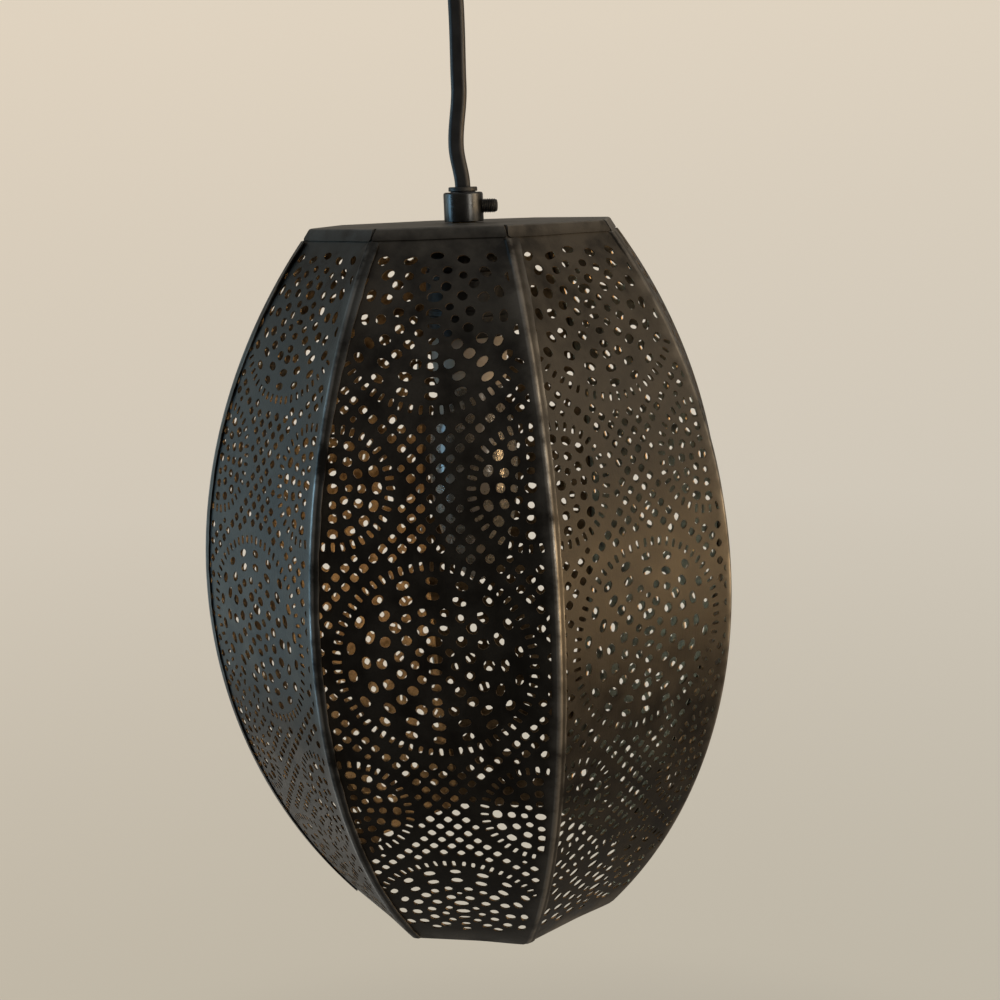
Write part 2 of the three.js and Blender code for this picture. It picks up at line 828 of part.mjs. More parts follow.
function buildShade() {
  const group = new THREE.Group();
  const panel = panelGeometry();
  for (let i = 0; i < shadeSides; i += 1) {
    addPiece(group, `panel_${i + 1}`, panel, antiqueIron()).rotation.z = sideAngle * i;
  }
  addPiece(group, "top_plate", topPlateGeometry(), antiqueIron());
  return group;
}

// The flex carries the lantern, so its lower end sets the lantern's height
function buildLantern() {
  const flexEnd = flexTop + flexRoute[flexRoute.length - 1][1];
  const plateTop = flexEnd + mouthDepth - bushTop;
  const lantern = new THREE.Group();
  lantern.position.z = plateTop;
  lantern.add(buildCordGrip(), buildHolder(), buildLamp());
  const shade = buildShade();
  shade.position.z = -halfHeight;
  lantern.add(shade);
  return lantern;
}

const pendant = new THREE.Group();
pendant.add(buildCeilingFitting());
addPiece(pendant, "flex", freeFlex(), blackPlastic()).position.z = flexTop;
pendant.add(buildLantern());

export default pendant;
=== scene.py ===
"""The looks of a pierced Moroccan lantern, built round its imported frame. Metres, +Z up."""
import math
import random

import bmesh
import bpy
from mathutils import Matrix, Vector
from mathutils.geometry import delaunay_2d_cdt


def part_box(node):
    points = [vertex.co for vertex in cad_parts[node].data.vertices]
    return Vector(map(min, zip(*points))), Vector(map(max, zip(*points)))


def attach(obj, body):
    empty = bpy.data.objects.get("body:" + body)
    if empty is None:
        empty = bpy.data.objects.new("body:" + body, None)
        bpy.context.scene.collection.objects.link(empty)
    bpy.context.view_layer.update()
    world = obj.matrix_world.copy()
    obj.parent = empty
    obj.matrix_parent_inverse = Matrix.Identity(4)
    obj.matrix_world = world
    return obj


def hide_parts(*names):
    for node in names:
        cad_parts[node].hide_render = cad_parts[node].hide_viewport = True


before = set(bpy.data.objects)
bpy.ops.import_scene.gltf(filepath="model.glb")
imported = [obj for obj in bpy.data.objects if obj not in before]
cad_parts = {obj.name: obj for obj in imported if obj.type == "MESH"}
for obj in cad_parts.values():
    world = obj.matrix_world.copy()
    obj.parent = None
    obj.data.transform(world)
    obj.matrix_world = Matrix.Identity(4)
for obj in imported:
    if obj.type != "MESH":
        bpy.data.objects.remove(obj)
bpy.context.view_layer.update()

# Camera, at the photograph's place and angle
CAMERA_PLACE = (0.0761, -0.4849, -0.1171)
CAMERA_TURN = 7.69  # degrees, leftwards from +Y
CAMERA_PITCH = 14.41  # degrees, downwards
CAMERA_ROLL = -1.97
LENS = 42.9
SENSOR = 36

# Flat twin flex: sideways place and height of its points, from its upper end
FLEX_WIDTH = 0.0062
FLEX_THICKNESS = 0.0038
FLEX_GROOVE = 0.00022
FLEX_ROUTE = [
    (0, 0), (0, -0.002), (0.0001, -0.006), (0.0002, -0.013), (0.0002, -0.02), (0.0001, -0.027),
    (0, -0.034), (-0.00005, -0.041), (-0.00046, -0.046), (-0.00114, -0.051), (-0.0018, -0.0565),
    (-0.002, -0.061), (-0.00183, -0.064), (-0.00138, -0.067), (-0.00071, -0.0705),
    (-0.00017, -0.074), (0, -0.077), (0, -0.078),
]

# Shade
SIDES = 8
SIDE_ANGLE = 2 * math.pi / SIDES
SIDE_SLOPE = math.tan(SIDE_ANGLE / 2)
WAIST_RADIUS = 0.113
RIM_RADIUS = 0.061
SHEET = 0.0006
SHEET_GAP = 0.00008
FIT_GAP = 0.0003
SHEET_STEP = 0.003  # length of the straight stretches that a drawn line is split into
PLATE_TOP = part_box("top_plate")[1][2]
SHADE_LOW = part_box("panel_1")[0][2]
HALF_HEIGHT = (PLATE_TOP - SHADE_LOW) / 2
WAIST_Z = (PLATE_TOP + SHADE_LOW) / 2
BULGE = (WAIST_RADIUS - RIM_RADIUS) * math.cos(SIDE_ANGLE / 2)
BEND_RADIUS = (HALF_HEIGHT**2 + BULGE**2) / (2 * BULGE)
BEND_CENTRE = WAIST_RADIUS * math.cos(SIDE_ANGLE / 2) - BEND_RADIUS
RIM_ANGLE = math.asin(HALF_HEIGHT / BEND_RADIUS)
LOWER_EDGE = -BEND_RADIUS * RIM_ANGLE + 0.0006
LIP_LENGTH = 0.005
LIP_DOWN = LIP_LENGTH * math.cos(RIM_ANGLE)

# The fold at each panel's right edge, which laps over the next panel
LAP_OUTER = SHEET_GAP + SHEET
LAP_WIDTH = 0.0027
LAP_TOP_WIDTH = 0.0036
LAP_TOP = BEND_RADIUS * math.asin((HALF_HEIGHT - LIP_DOWN - 0.001) / BEND_RADIUS)
LAP_LOW = LOWER_EDGE + 0.0012
LAP_CORNER = 0.0008
LAP_WIDENING = (0.06, 0.07)  # start and span, above the waist
LAP_UNEVEN = 0.0002
LAP_UNEVEN_FROM = (0.03, 0.03)  # start and span, either way from the waist
LAP_LIFT = (0.0002, 0.0006)  # how far the lap's top may stand off
LAP_LIFT_FROM = (0.1, 0.035)  # start and span, above the waist
# The wandering of the lap's cut edge: amount, pace, start
LAP_WANDER = ((0.00012, 310, 0), (0.00009, 790, 1))
SWELL_START = 0.022
SWELL_FADE = 0.016  # how far below the lap's top the swell starts to fade
SWELL_FADE_SPAN = 0.012
JOGGLE_START = 0.0016
JOGGLE_END = 0.0006
FOLD_REACH = 0.0005
MITER_SPAN = 0.003
EDGE_INSET = 0.00016
SLIT = 0.00035

# Piercing, measured on the flattened panel: across from its middle, up from the waist
MEDALLION_PITCH = 0.1235
SIDE_MEDALLION = 0.0345
PATTERN_DROP = 0.0019
END_DROP = 0.0025  # how much more the pattern sinks towards either end
# Start and span of the sinking above the waist and below it, and of its end close to the lower edge
UPPER_DROP = (0.085, 0.055)
LOWER_DROP = (0.02, 0.085)
LOWEST_DROP = (0.13, 0.025)
TOP_MARGIN = 0.0096
BOTTOM_MARGIN = 0.0097
SIDE_MARGIN = 0.0027
LEAST_HOLE = 0.001
LEAST_SHARE = 0.6
LATTICE_ACROSS = 0.0034
LATTICE_UP = 0.00685
LATTICE_HOLE = 0.0031
LATTICE_SQUASH = 0.94
LATTICE_LEAST = 0.4  # share of the full size below which a hole is left out
LATTICE_FADE = 0.0017  # distance over which the holes shrink towards a medallion
LATTICE_OVERLAP = 0.0002
MAIN_CLEAR = 0.0369
SIDE_CLEAR = 0.0225

# A hole's outline: 2 corners give an ellipse and more a rounded oblong. Then how far it may be out of true.
HOLE_POINTS = 12
OVAL_CORNERS = 2.2
LATTICE_CORNERS = 2.7
SLOT_CORNERS = 3.4
UNEVEN_SIZE = (0.93, 1.06)
UNEVEN_EDGE = (0.97, 1.03)
UNEVEN_TURN = 0.09
UNEVEN_PLACE = 0.00012

# Seeds of the random draws
HOLE_SEED = 7
PANEL_SEED = 20
PLATE_SEED = 3

# The threaded tube, what it goes through, and the threads
TUBE_RADIUS = 0.005
TUBE_HOLE = 0.0053
FLEX_BORE = 0.00375
TUBE_PITCH = 0.001
SCREW_PITCH = 0.0007
LAMP_PITCH = 0.00282
HOLDER_WALL = 0.0016
SMALL_ROUND = 0.0002
SHARP_FROM = 32  # degrees


# Meshes

def mix(a, b, share):
    return a + (b - a) * share


def smooth(share):
    share = min(max(share, 0), 1)
    return share * share * (3 - 2 * share)


def ramp(value, start, span):
    """Rises smoothly from 0 to 1 over a span."""
    return smooth((value - start) / span)


def new_object(name, data):
    made = bpy.data.objects.new(name, data)
    bpy.context.scene.collection.objects.link(made)
    return made


class Shape:
    """Closed bodies gathered into one piece."""

    def __init__(self):
        self.verts = []
        self.faces = []
        self.paint = []
        self.rub = []

    def add(self, verts, faces, paint=0, rub=None, matrix=None):
        start = len(self.verts)
        points = [Vector(v) for v in verts]
        self.verts += [matrix @ v for v in points] if matrix else points
        self.faces += [[start + i for i in face] for face in faces]
        self.paint += paint if isinstance(paint, list) else [paint] * len(faces)
        self.rub += rub if rub else [0.0] * len(points)
        return self

    def piece(self, node, body, materials, slot):
        """Makes the object, rides it on its body and lets it stand for its CAD node."""
        name = f"{node}_look"
        mesh = bpy.data.meshes.new(name)
        mesh.from_pydata(self.verts, [], self.faces)
        for material in materials:
            mesh.materials.append(material)
        mesh.polygons.foreach_set("material_index", self.paint)
        rubbed = mesh.attributes.new("rub", "FLOAT", "POINT")
        rubbed.data.foreach_set("value", self.rub)
        mesh.shade_smooth()
        mesh.set_sharp_from_angle(angle=math.radians(SHARP_FROM))
        mesh.update()
        made = new_object(name, mesh)
        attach(made, body)
        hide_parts(node)
        return made


def facing_out(verts, faces):
    """The faces, turned so that they enclose a positive volume."""
    volume = 0
    for face in faces:
        a = Vector(verts[face[0]])
        for i in range(1, len(face) - 1):
            volume += a.dot(Vector(verts[face[i]]).cross(Vector(verts[face[i + 1]])))
    return faces if volume > 0 else [face[::-1] for face in faces]


def filleted(points, radius, closed, steps=4):
    """A profile with its corners rounded. A third value in a point is that corner's own radius."""
    made = []
    count = len(points)
    for i, point in enumerate(points):
        corner = Vector(point[:2])
        reach = point[2] if len(point) > 2 else radius
        if reach == 0 or (not closed and i in (0, count - 1)):
            made.append(tuple(corner))
            continue
        before = Vector(points[i - 1][:2]) - corner
        after = Vector(points[(i + 1) % count][:2]) - corner
        half = before.angle(after) / 2
        length = min(reach / math.tan(half), 0.45 * before.length, 0.45 * after.length)
        start = corner + before.normalized() * length
        end = corner + after.normalized() * length
        for k in range(steps + 1):
            share = k / steps
            made.append(tuple(start.lerp(corner, share).lerp(corner.lerp(end, share), share)))
    return made


def round_faces(steps, across, closed):
    """The faces between rows of points that stand in a circle. A closed row joins its own ends too."""
    faces = []
    for i in range(steps):
        here, there = i * across, (i + 1) % steps * across
        for j in range(across if closed else across - 1):
            k = (j + 1) % across
            faces.append([here + j, there + j, there + k, here + k])
    return faces


def lathe(profile, steps):
    """A closed body turned about Z. The profile is a function of the angle that gives a list of (radius,
    height), from the axis to the axis or round a closed loop."""
    rings = []
    for i in range(steps):
        angle = 2 * math.pi * i / steps
        rings.append([(angle, *point) for point in profile(angle)])
    count = len(rings[0])
    poled = rings[0][0][1] == 0
    first, last = (1, count - 1) if poled else (0, count)
    across = last - first
    verts = [(r * math.cos(a), r * math.sin(a), z) for ring in rings for a, r, z in ring[first:last]]
    faces = round_faces(steps, across, not poled)
    if poled:
        low = len(verts)
        verts += [(0, 0, rings[0][0][2]), (0, 0, rings[0][-1][2])]
        for i in range(steps):
            here, there = i * across, (i + 1) % steps * across
            faces.append([low, there, here])
            faces.append([low + 1, here + across - 1, there + across - 1])
    return verts, facing_out(verts, faces)


def thread(low, high, root, crest, pitch, angle, per_turn, rounded=False):
    """The profile's points along a screw thread that runs out at both ends."""
    count = max(4, round((high - low) / pitch * per_turn))
    points = []
    for i in range(count + 1):
        z = mix(low, high, i / count)
        phase = (z / pitch - angle / (2 * math.pi)) % 1
        wave = 0.5 - 0.5 * math.cos(2 * math.pi * phase) if rounded else 1 - abs(2 * phase - 1)
        fade = min(1, (z - low) / pitch, (high - z) / pitch)
        points.append((mix(root, crest, wave * max(fade, 0)), z))
    return points


def hex_radius(angle, across_flats):
    sixth = math.pi / 3
    return across_flats / 2 / math.cos((angle + sixth / 2) % sixth - sixth / 2)


def block(size, centre, bevel):
    """A box with rounded edges."""
    made = bmesh.new()
    bmesh.ops.create_cube(made, size=1)
    bmesh.ops.scale(made, vec=size, verts=made.verts)
    bmesh.ops.translate(made, vec=centre, verts=made.verts)
    bmesh.ops.bevel(made, geom=made.edges[:], offset=bevel, segments=2, profile=0.6, affect="EDGES")
    made.verts.index_update()
    verts = [v.co.copy() for v in made.verts]
    faces = [[v.index for v in face.verts] for face in made.faces]
    made.free()
    return verts, faces


def sheet_solid(outline, holes, lines, place, rubbed=None):
    """A closed sheet, drawn flat as an outline with holes and fold lines, then put in place.
    place(x, y, layer) gives a point of the outer face, layer 0, or of the inner face, layer 1."""
    coords, faces, edges = [], [], []
    for loop in [outline, *holes]:
        faces.append(list(range(len(coords), len(coords) + len(loop))))
        coords += [Vector(p) for p in loop]
    for line in lines:
        start = len(coords)
        coords += [Vector(p) for p in line]
        edges += [(start + i, start + i + 1) for i in range(len(line) - 1)]
    flat, _, triangles, origins, _, sources = delaunay_2d_cdt(coords, edges, faces, 0, 1e-7, True)
    kept = [list(t) for t, source in zip(triangles, sources) if list(source) == [0]]
    used = {}
    for triangle in kept:
        for i in triangle:
            used.setdefault(i, len(used))
    count = len(used)
    verts = [place(flat[i].x, flat[i].y, layer) for layer in (0, 1) for i in used]
    front = [[used[i] for i in triangle] for triangle in kept]
    back = [[i + count for i in reversed(triangle)] for triangle in front]
    directed = {(t[i], t[(i + 1) % 3]) for t in front for i in range(3)}
    walls = [[b, a, a + count, b + count] for a, b in directed if (b, a) not in directed]
    walls.sort()
    wear = [rubbed(flat[i].x, flat[i].y) for _ in (0, 1) for i in used] if rubbed else None
    rim = {used[i] for i in used if any(source < len(outline) for source in origins[i])}
    paint = [0] * len(front) + [1] * len(back) + [0 if a in rim else 1 for a, *_ in walls]
    return verts, front + back + walls, paint, wear


# Materials

def feed(tree, socket, value):
    """Gives an input a number, a vector, a colour or another node's output."""
    if isinstance(value, bpy.types.NodeSocket):
        tree.links.new(value, socket)
    else:
        socket.default_value = (*value, 1) if socket.type == "RGBA" else value


def feed_named(tree, node, values):
    for name, value in values.items():
        feed(tree, node.inputs[name.replace("_", " ")], value)


def node_of(tree, kind, **values):
    made = tree.nodes.new("ShaderNode" + kind)
    feed_named(tree, made, values)
    return made


def spread(tree, source, low, high, start=0.0, end=1.0):
    """Maps a value from start to end onto low to high."""
    made = node_of(tree, "MapRange", Value=source, From_Min=start, From_Max=end, To_Min=low, To_Max=high)
    return made.outputs["Result"]


def blended(tree, share, a, b):
    """A colour mixed between two, each a colour or another node's output."""
    made = node_of(tree, "Mix")
    made.data_type = "RGBA"
    feed_named(tree, made, {"Factor": share, "A": a, "B": b})
    return made.outputs["Result"]


def calculated(tree, operation, *values):
    """The result of a Math node, from numbers and other nodes' outputs."""
    made = node_of(tree, "Math")
    made.operation = operation
    for socket, value in zip(made.inputs, values):
        feed(tree, socket, value)
    return made.outputs[0]


def noise(tree, place, scale, detail, roughness):
    made = node_of(tree, "TexNoise", Vector=place, Scale=scale, Detail=detail, Roughness=roughness)
    return made.outputs["Fac"]


def height_share(tree, vector):
    """A vector's Z."""
    return node_of(tree, "SeparateXYZ", Vector=vector).outputs["Z"]


def surface(name):
    """A new material and its shader."""
    material = bpy.data.materials.new(name)
    material.use_nodes = True
    return material, material.node_tree.nodes["Principled BSDF"]


GRAIN = 1400
RELIEF = 0.0004
# Where the paint is rubbed: how much smoother and how much barer the metal is
RUB_SMOOTHER = -0.1
RUB_BARE = 0.45


def finish(name, dark, light, metallic, rough, patches=70, bump=0.12, streaks=None, wear=None, **inputs):
    """A procedural finish: patches of two colours, fine grain in colour and relief, streaks along an axis.
    Wear is the colour where the mesh's rub attribute is high, then the colour and the amount of the dust on
    what faces upwards, which is partly painted sheen: tops made lighter as if they caught the light from
    above."""
    material, shader = surface(name)
    tree = material.node_tree
    place = node_of(tree, "TexCoord").outputs["Object"]
    broad = noise(tree, place, patches, 5, 0.6)
    fine = noise(tree, place, GRAIN, 3, 0.55)
    colour = blended(tree, spread(tree, broad, 0, 1, 0.35, 0.65), dark, light)
    colour = blended(tree, spread(tree, fine, 0, 0.5, 0.45, 0.7), colour, dark)
    roughness = spread(tree, broad, *rough, 0.35, 0.68)
    height = fine
    if streaks:
        along = node_of(tree, "Mapping", Vector=place, Scale=streaks).outputs["Vector"]
        lines = noise(tree, along, 1, 4, 0.65)
        colour = blended(tree, spread(tree, lines, 0, 0.55, 0.58, 0.72), colour, light)
        height = calculated(tree, "ADD", height, lines)
    if wear:
        bare, dust_and_sheen_colour, amount = wear
        rubbed = node_of(tree, "Attribute")
        rubbed.attribute_name = "rub"
        rubbed = calculated(tree, "MULTIPLY", rubbed.outputs["Fac"], spread(tree, broad, 0, 1, 0.36, 0.6))
        colour = blended(tree, rubbed, colour, bare)
        roughness = calculated(tree, "MULTIPLY_ADD", rubbed, RUB_SMOOTHER, roughness)
        # Lighter on what faces upwards: real dust, and partly painted sheen standing for the bright room
        # above
        upwards = height_share(tree, node_of(tree, "NewGeometry").outputs["Normal"])
        dust_and_sheen = spread(tree, upwards, 0, amount, 0.25, 1.0)
        dust_and_sheen = calculated(tree, "MULTIPLY", dust_and_sheen, spread(tree, broad, 0.25, 1, 0.35, 0.6))
        colour = blended(tree, dust_and_sheen, colour, dust_and_sheen_colour)
        metallic = calculated(tree, "MULTIPLY_ADD", rubbed, RUB_BARE, spread(tree, dust_and_sheen, metallic, 0))
    relief = node_of(tree, "Bump", Strength=bump, Distance=RELIEF, Height=height).outputs["Normal"]
    inputs.update(Base_Color=colour, Metallic=metallic, Roughness=roughness, Normal=relief)
    feed_named(tree, shader, inputs)
    return material


# The second colour in the iron's wear is dust and painted sheen on its upward-facing parts
iron = finish("antique_iron", (0.0035, 0.003, 0.0025), (0.011, 0.01, 0.0085), 0.3, (0.36, 0.5),
              streaks=(900, 900, 60), wear=((0.1, 0.098, 0.094), (0.066, 0.06, 0.051), 0.65),
              Specular_IOR_Level=0.1)
collar_iron = finish("collar_iron", (0.026, 0.027, 0.028), (0.042, 0.042, 0.042), 1.0, (0.26, 0.36),
                     patches=180, streaks=(2600, 2600, 120), bump=0.06)
gilt = finish("gilt_inside", (0.045, 0.029, 0.015), (0.24, 0.17, 0.095), 0.9, (0.36, 0.54), patches=110,
              bump=0.1)
dark_brass = finish("dark_brass", (0.1, 0.075, 0.05), (0.2, 0.16, 0.11), 0.9, (0.32, 0.5), patches=300)
brass = finish("brass", (0.5, 0.36, 0.15), (0.66, 0.5, 0.24), 0.95, (0.24, 0.42), patches=200)
steel = finish("steel", (0.42, 0.42, 0.42), (0.6, 0.6, 0.58), 0.95, (0.28, 0.45), patches=220, bump=0.08)
black_plastic = finish("black_plastic", (0.008, 0.008, 0.008), (0.014, 0.014, 0.014), 0, (0.45, 0.6),
                       patches=120, bump=0.05, Specular_IOR_Level=0.2)
pale_plastic = finish("pale_plastic", (0.66, 0.65, 0.61), (0.74, 0.73, 0.7), 0, (0.4, 0.5), patches=90,
                      bump=0.05)
# A darker, warmer copy of the pale plastic for the lamp's neck: painted shade that tones down the lamps'
# light on it
shaded_neck_plastic = finish("shaded_neck_plastic", (0.36, 0.31, 0.25), (0.46, 0.41, 0.34), 0, (0.4, 0.5), patches=90,
                      bump=0.05)
grey_plastic = finish("grey_plastic", (0.26, 0.27, 0.28), (0.34, 0.35, 0.36), 0, (0.5, 0.62), patches=120)
flex_cover = finish("flex_cover", (0.004, 0.004, 0.0045), (0.009, 0.009, 0.0095), 0, (0.42, 0.55),
                    patches=160, bump=0.06, streaks=(1500, 1500, 60), Specular_IOR_Level=0.2)
frosted_glass = finish("frosted_glass", (0.25, 0.22, 0.175), (0.4, 0.355, 0.29), 0, (0.2, 0.34),
                       patches=140, bump=0.03, Transmission_Weight=0.6, IOR=1.48, Coat_Weight=0.6,
                       Coat_Roughness=0.07)


# Camera

camera_data = bpy.data.cameras.new("camera")
camera_data.lens = LENS
camera_data.sensor_width = SENSOR
camera_data.clip_start = 0.01
camera = new_object("camera", camera_data)
camera.matrix_world = (
    Matrix.Translation(CAMERA_PLACE)
    @ Matrix.Rotation(math.radians(CAMERA_TURN), 4, "Z")
    @ Matrix.Rotation(math.radians(90 - CAMERA_PITCH), 4, "X")
    @ Matrix.Rotation(math.radians(CAMERA_ROLL), 4, "Z")
)
bpy.context.scene.camera = camera


# Flex

def flex_section(steps=10):
    """The flex's outline, across and through: two rounds with a shallow groove between them."""
    round_radius = FLEX_THICKNESS / 2
    centre = FLEX_WIDTH / 2 - round_radius
    points = []
    for side in (1, -1):
        for i in range(steps + 1):
            angle = math.pi * (i / steps - 0.5)
            across = centre + round_radius * math.cos(angle)
            points.append((side * across, side * round_radius * math.sin(angle)))
        points.append((0, side * (round_radius - FLEX_GROOVE)))
    return points


def tube(rows):
    """A closed tube through rows of points, each row one section."""
    verts = [point for row in rows for point in row]
    count = len(rows[0])
    end = len(verts) - count
    faces = []
    for here in range(0, end, count):
        for j in range(count):
            k = (j + 1) % count
            faces.append([here + j, here + k, here + count + k, here + count + j])
    faces += [list(range(count))[::-1], list(range(end, end + count))]
    return verts, facing_out(verts, faces)


def swept(path, section):
    """A closed tube of the section along a path in the XZ plane."""
    rows = []
    for i, point in enumerate(path):
        along = (path[min(i + 1, len(path) - 1)] - path[max(i - 1, 0)]).normalized()
        across = Vector((-along.z, 0, along.x))
        rows.append([point + across * a + Vector((0, b, 0)) for a, b in section])
    return tube(rows)


def smooth_path(points, steps=6):
    """A curve through the points, with rounded bends."""
    made = []
    for i in range(len(points) - 1):
        before, here = points[max(i - 1, 0)], points[i]
        there, after = points[i + 1], points[min(i + 2, len(points) - 1)]
        for k in range(steps):
            s = k / steps
            pull = (there - before) * 0.5 * s * (1 - s) ** 2 - (after - here) * 0.5 * s * s * (1 - s)
            made.append(here.lerp(there, smooth(s)) + pull)
    return made + [points[-1]]


flex_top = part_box("flex")[1][2]
flex_path = smooth_path([Vector((x, 0, flex_top + z)) for x, z in FLEX_ROUTE])
flex_tube = Shape().add(*swept(flex_path, flex_section()))
flex = flex_tube.piece("flex", "hanging_flex", [flex_cover], "flex_cover")


def flex_tail(name, body):
    """The straight stretch of flex that is held in a grip."""
    low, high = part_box(name)
    path = [Vector((0, 0, mix(low[2], high[2], i / 8))) for i in range(9)]
    return Shape().add(*swept(path, flex_section())).piece(name, body, [flex_cover], "flex_cover")


flex_tail("ceiling_flex_tail", "ceiling_fitting")
flex_tail("lamp_flex_tail", "lantern")


# Piercing

def flat_at(up):
    """How far the panel's outer face is from the axis."""
    return BEND_CENTRE + BEND_RADIUS * math.cos(up / BEND_RADIUS)


def ridge_at(up):
    """Half of the panel's width."""
    return flat_at(up) * SIDE_SLOPE


def hole_outline(chance, across, up, wide, tall, turned, corners):
    """A hole slightly out of true: an oval, or with more corners a rounded oblong."""
    wide *= chance.uniform(*UNEVEN_SIZE)
    tall *= chance.uniform(*UNEVEN_SIZE)
    turned += chance.uniform(-UNEVEN_TURN, UNEVEN_TURN)
    across += chance.uniform(-UNEVEN_PLACE, UNEVEN_PLACE)
    up += chance.uniform(-UNEVEN_PLACE, UNEVEN_PLACE)
    cosine, sine = math.cos(turned), math.sin(turned)
    points = []
    for i in range(HOLE_POINTS):
        angle = 2 * math.pi * (i + 0.5) / HOLE_POINTS
        swell = chance.uniform(*UNEVEN_EDGE) / 2
        x = math.copysign(abs(math.cos(angle)) ** (2 / corners), math.cos(angle)) * wide * swell
        y = math.copysign(abs(math.sin(angle)) ** (2 / corners), math.sin(angle)) * tall * swell
        points.append((across + x * cosine - y * sine, up + x * sine + y * cosine))
    return points


def even(count):
    return [360 * i / count for i in range(count)]


def both(*angles):
    return [side * angle for angle in angles for side in (1, -1)]


# The medallions' rings: radius, then the holes' angles from straight up, width and height
MAIN_RINGS = [
    (0.0300, even(18), 0.0046, 0.0031),
    (0.0245, even(16), 0.0049, 0.0032),
    (0.0191, both(12, 30), 0.0034, 0.0031),
    (0.0189, both(46, 66, 91, 116, 138, 162) + [180], 0.0042, 0.0040),
    (0.0155, [0], 0.0023, 0.0021),
    (0.0128, both(17, 49, 79, 109), 0.0040, 0.0037),
    (0.0134, both(141), 0.0042, 0.0039),
    (0.0146, [180], 0.0038, 0.0034),
    (0.0083, [0], 0.0056, 0.0044),
    (0.0068, both(52), 0.0032, 0.0030),
    (0.0073, both(95), 0.0033, 0.0031),
    (0.0078, both(140), 0.0033, 0.0031),
    (0.0092, [180], 0.0036, 0.0031),
    (0.0018, [0], 0.0058, 0.0037),
    (0.0032, [180], 0.0050, 0.0024),
]
SIDE_RINGS = [
    (0.0158, even(16), 0.0041, 0.0035),
    (0.0105, even(12), 0.0034, 0.0032),
    (0.0058, even(8), 0.0027, 0.0027),
    (0.0, [0], 0.0042, 0.0035),
]
MAIN_SLOTS = (0.0350, even(60), 0.0015, 0.0033)
SIDE_SLOTS = (0.0205, even(36), 0.0015, 0.0033)


def medallion(chance, across, up, rings, slots):
    holes = []
    for ring in [*rings, slots]:
        radius, angles, wide, tall = ring
        corners = SLOT_CORNERS if ring is slots else OVAL_CORNERS
        for degrees in angles:
            angle = math.radians(degrees)
            x, y = across + radius * math.sin(angle), up + radius * math.cos(angle)
            holes.append(hole_outline(chance, x, y, wide, tall, -angle, corners))
    return holes


def lattice(chance, centres):
    """Rounded diamonds in the spaces between the medallions, smaller where they meet a medallion's border."""
    holes = []
    columns = math.ceil(WAIST_RADIUS * math.sin(SIDE_ANGLE / 2) / LATTICE_ACROSS)
    rows = math.ceil(-LOWER_EDGE / LATTICE_UP) + 1
    for column in range(-columns, columns + 1):
        x = column * LATTICE_ACROSS
        for row in range(-rows, rows + 1):
            y = (row + (0.5 if column % 2 == 0 else 0)) * LATTICE_UP
            room = min(math.hypot(x - cx, y - cy) - clear for cx, cy, clear in centres)
            size = min(1, (room + LATTICE_OVERLAP) / LATTICE_FADE)
            if size > LATTICE_LEAST:
                wide = LATTICE_HOLE * size
                tall = wide * LATTICE_SQUASH
                holes.append(hole_outline(chance, x, y, wide, tall, math.pi / 4, LATTICE_CORNERS))
    return holes


def cut_beyond(hole, side):
    """The part of a hole that is clear of the margin along one of the panel's sides."""
    middle = sum(y for _, y in hole) / len(hole)
    limit = ridge_at(middle) - SIDE_MARGIN
    near = 0.001
    slope = (ridge_at(middle + near) - ridge_at(middle - near)) / (2 * near)
    kept = []
    for i, (x, y) in enumerate(hole):
        px, py = hole[i - 1]
        here = side * x - limit - slope * (y - middle)
        before = side * px - limit - slope * (py - middle)
        if (here > 0) != (before > 0):
            share = before / (before - here)
            kept.append((mix(px, x, share), mix(py, y, share)))
        if here <= 0:
            kept.append((x, y))
    return kept


def dropped(up):
    """Where a height of the true pattern lies on the sheet: a little low, and stretched at its ends."""
    upper = END_DROP * ramp(up, *UPPER_DROP)
    lower = END_DROP * ramp(-up, *LOWER_DROP) - 1.2 * END_DROP * ramp(-up, *LOWEST_DROP)
    return up - PATTERN_DROP - upper - lower


def trimmed(hole):
    """The part of a hole inside the panel's margins, or None if that is too little."""
    ups = [y for _, y in hole]
    if max(ups) > -LOWER_EDGE - TOP_MARGIN or min(ups) < LOWER_EDGE + BOTTOM_MARGIN:
        return None
    kept = cut_beyond(hole, 1)
    kept = cut_beyond(kept, -1) if kept else kept
    if len(kept) < 3:
        return None
    width = max(x for x, _ in kept) - min(x for x, _ in kept)
    whole = max(x for x, _ in hole) - min(x for x, _ in hole)
    return kept if width > min(LEAST_HOLE, LEAST_SHARE * whole) else None


def panel_holes():
    """A flat panel's holes: three medallions up its middle, four on each side that it cuts, and lattice."""
    chance = random.Random(HOLE_SEED)
    holes, centres = [], []
    for i in (-1, 0, 1):
        up = i * MEDALLION_PITCH
        holes += medallion(chance, 0, up, MAIN_RINGS, MAIN_SLOTS)
        centres.append((0, up, MAIN_CLEAR + LATTICE_HOLE / 2))
    for i in (-1.5, -0.5, 0.5, 1.5):
        for side in (-1, 1):
            across, up = side * SIDE_MEDALLION, i * MEDALLION_PITCH
            holes += medallion(chance, across, up, SIDE_RINGS, SIDE_SLOTS)
            centres.append((across, up, SIDE_CLEAR + LATTICE_HOLE / 2))
    holes += lattice(chance, centres)
    holes = [[(x, dropped(y)) for x, y in hole] for hole in holes]
    return [kept for kept in map(trimmed, holes) if kept]


# Panels

def steps_between(start, end, step):
    count = max(1, round(abs(end - start) / step))
    return [mix(start, end, i / count) for i in range(count + 1)]


def lap_width(up):
    """The lap is a little wider near the top, and its cut edge wanders."""
    wander = sum(amount * math.sin(up * pace + start) for amount, pace, start in LAP_WANDER)
    return mix(LAP_WIDTH, LAP_TOP_WIDTH, ramp(up, *LAP_WIDENING)) + wander


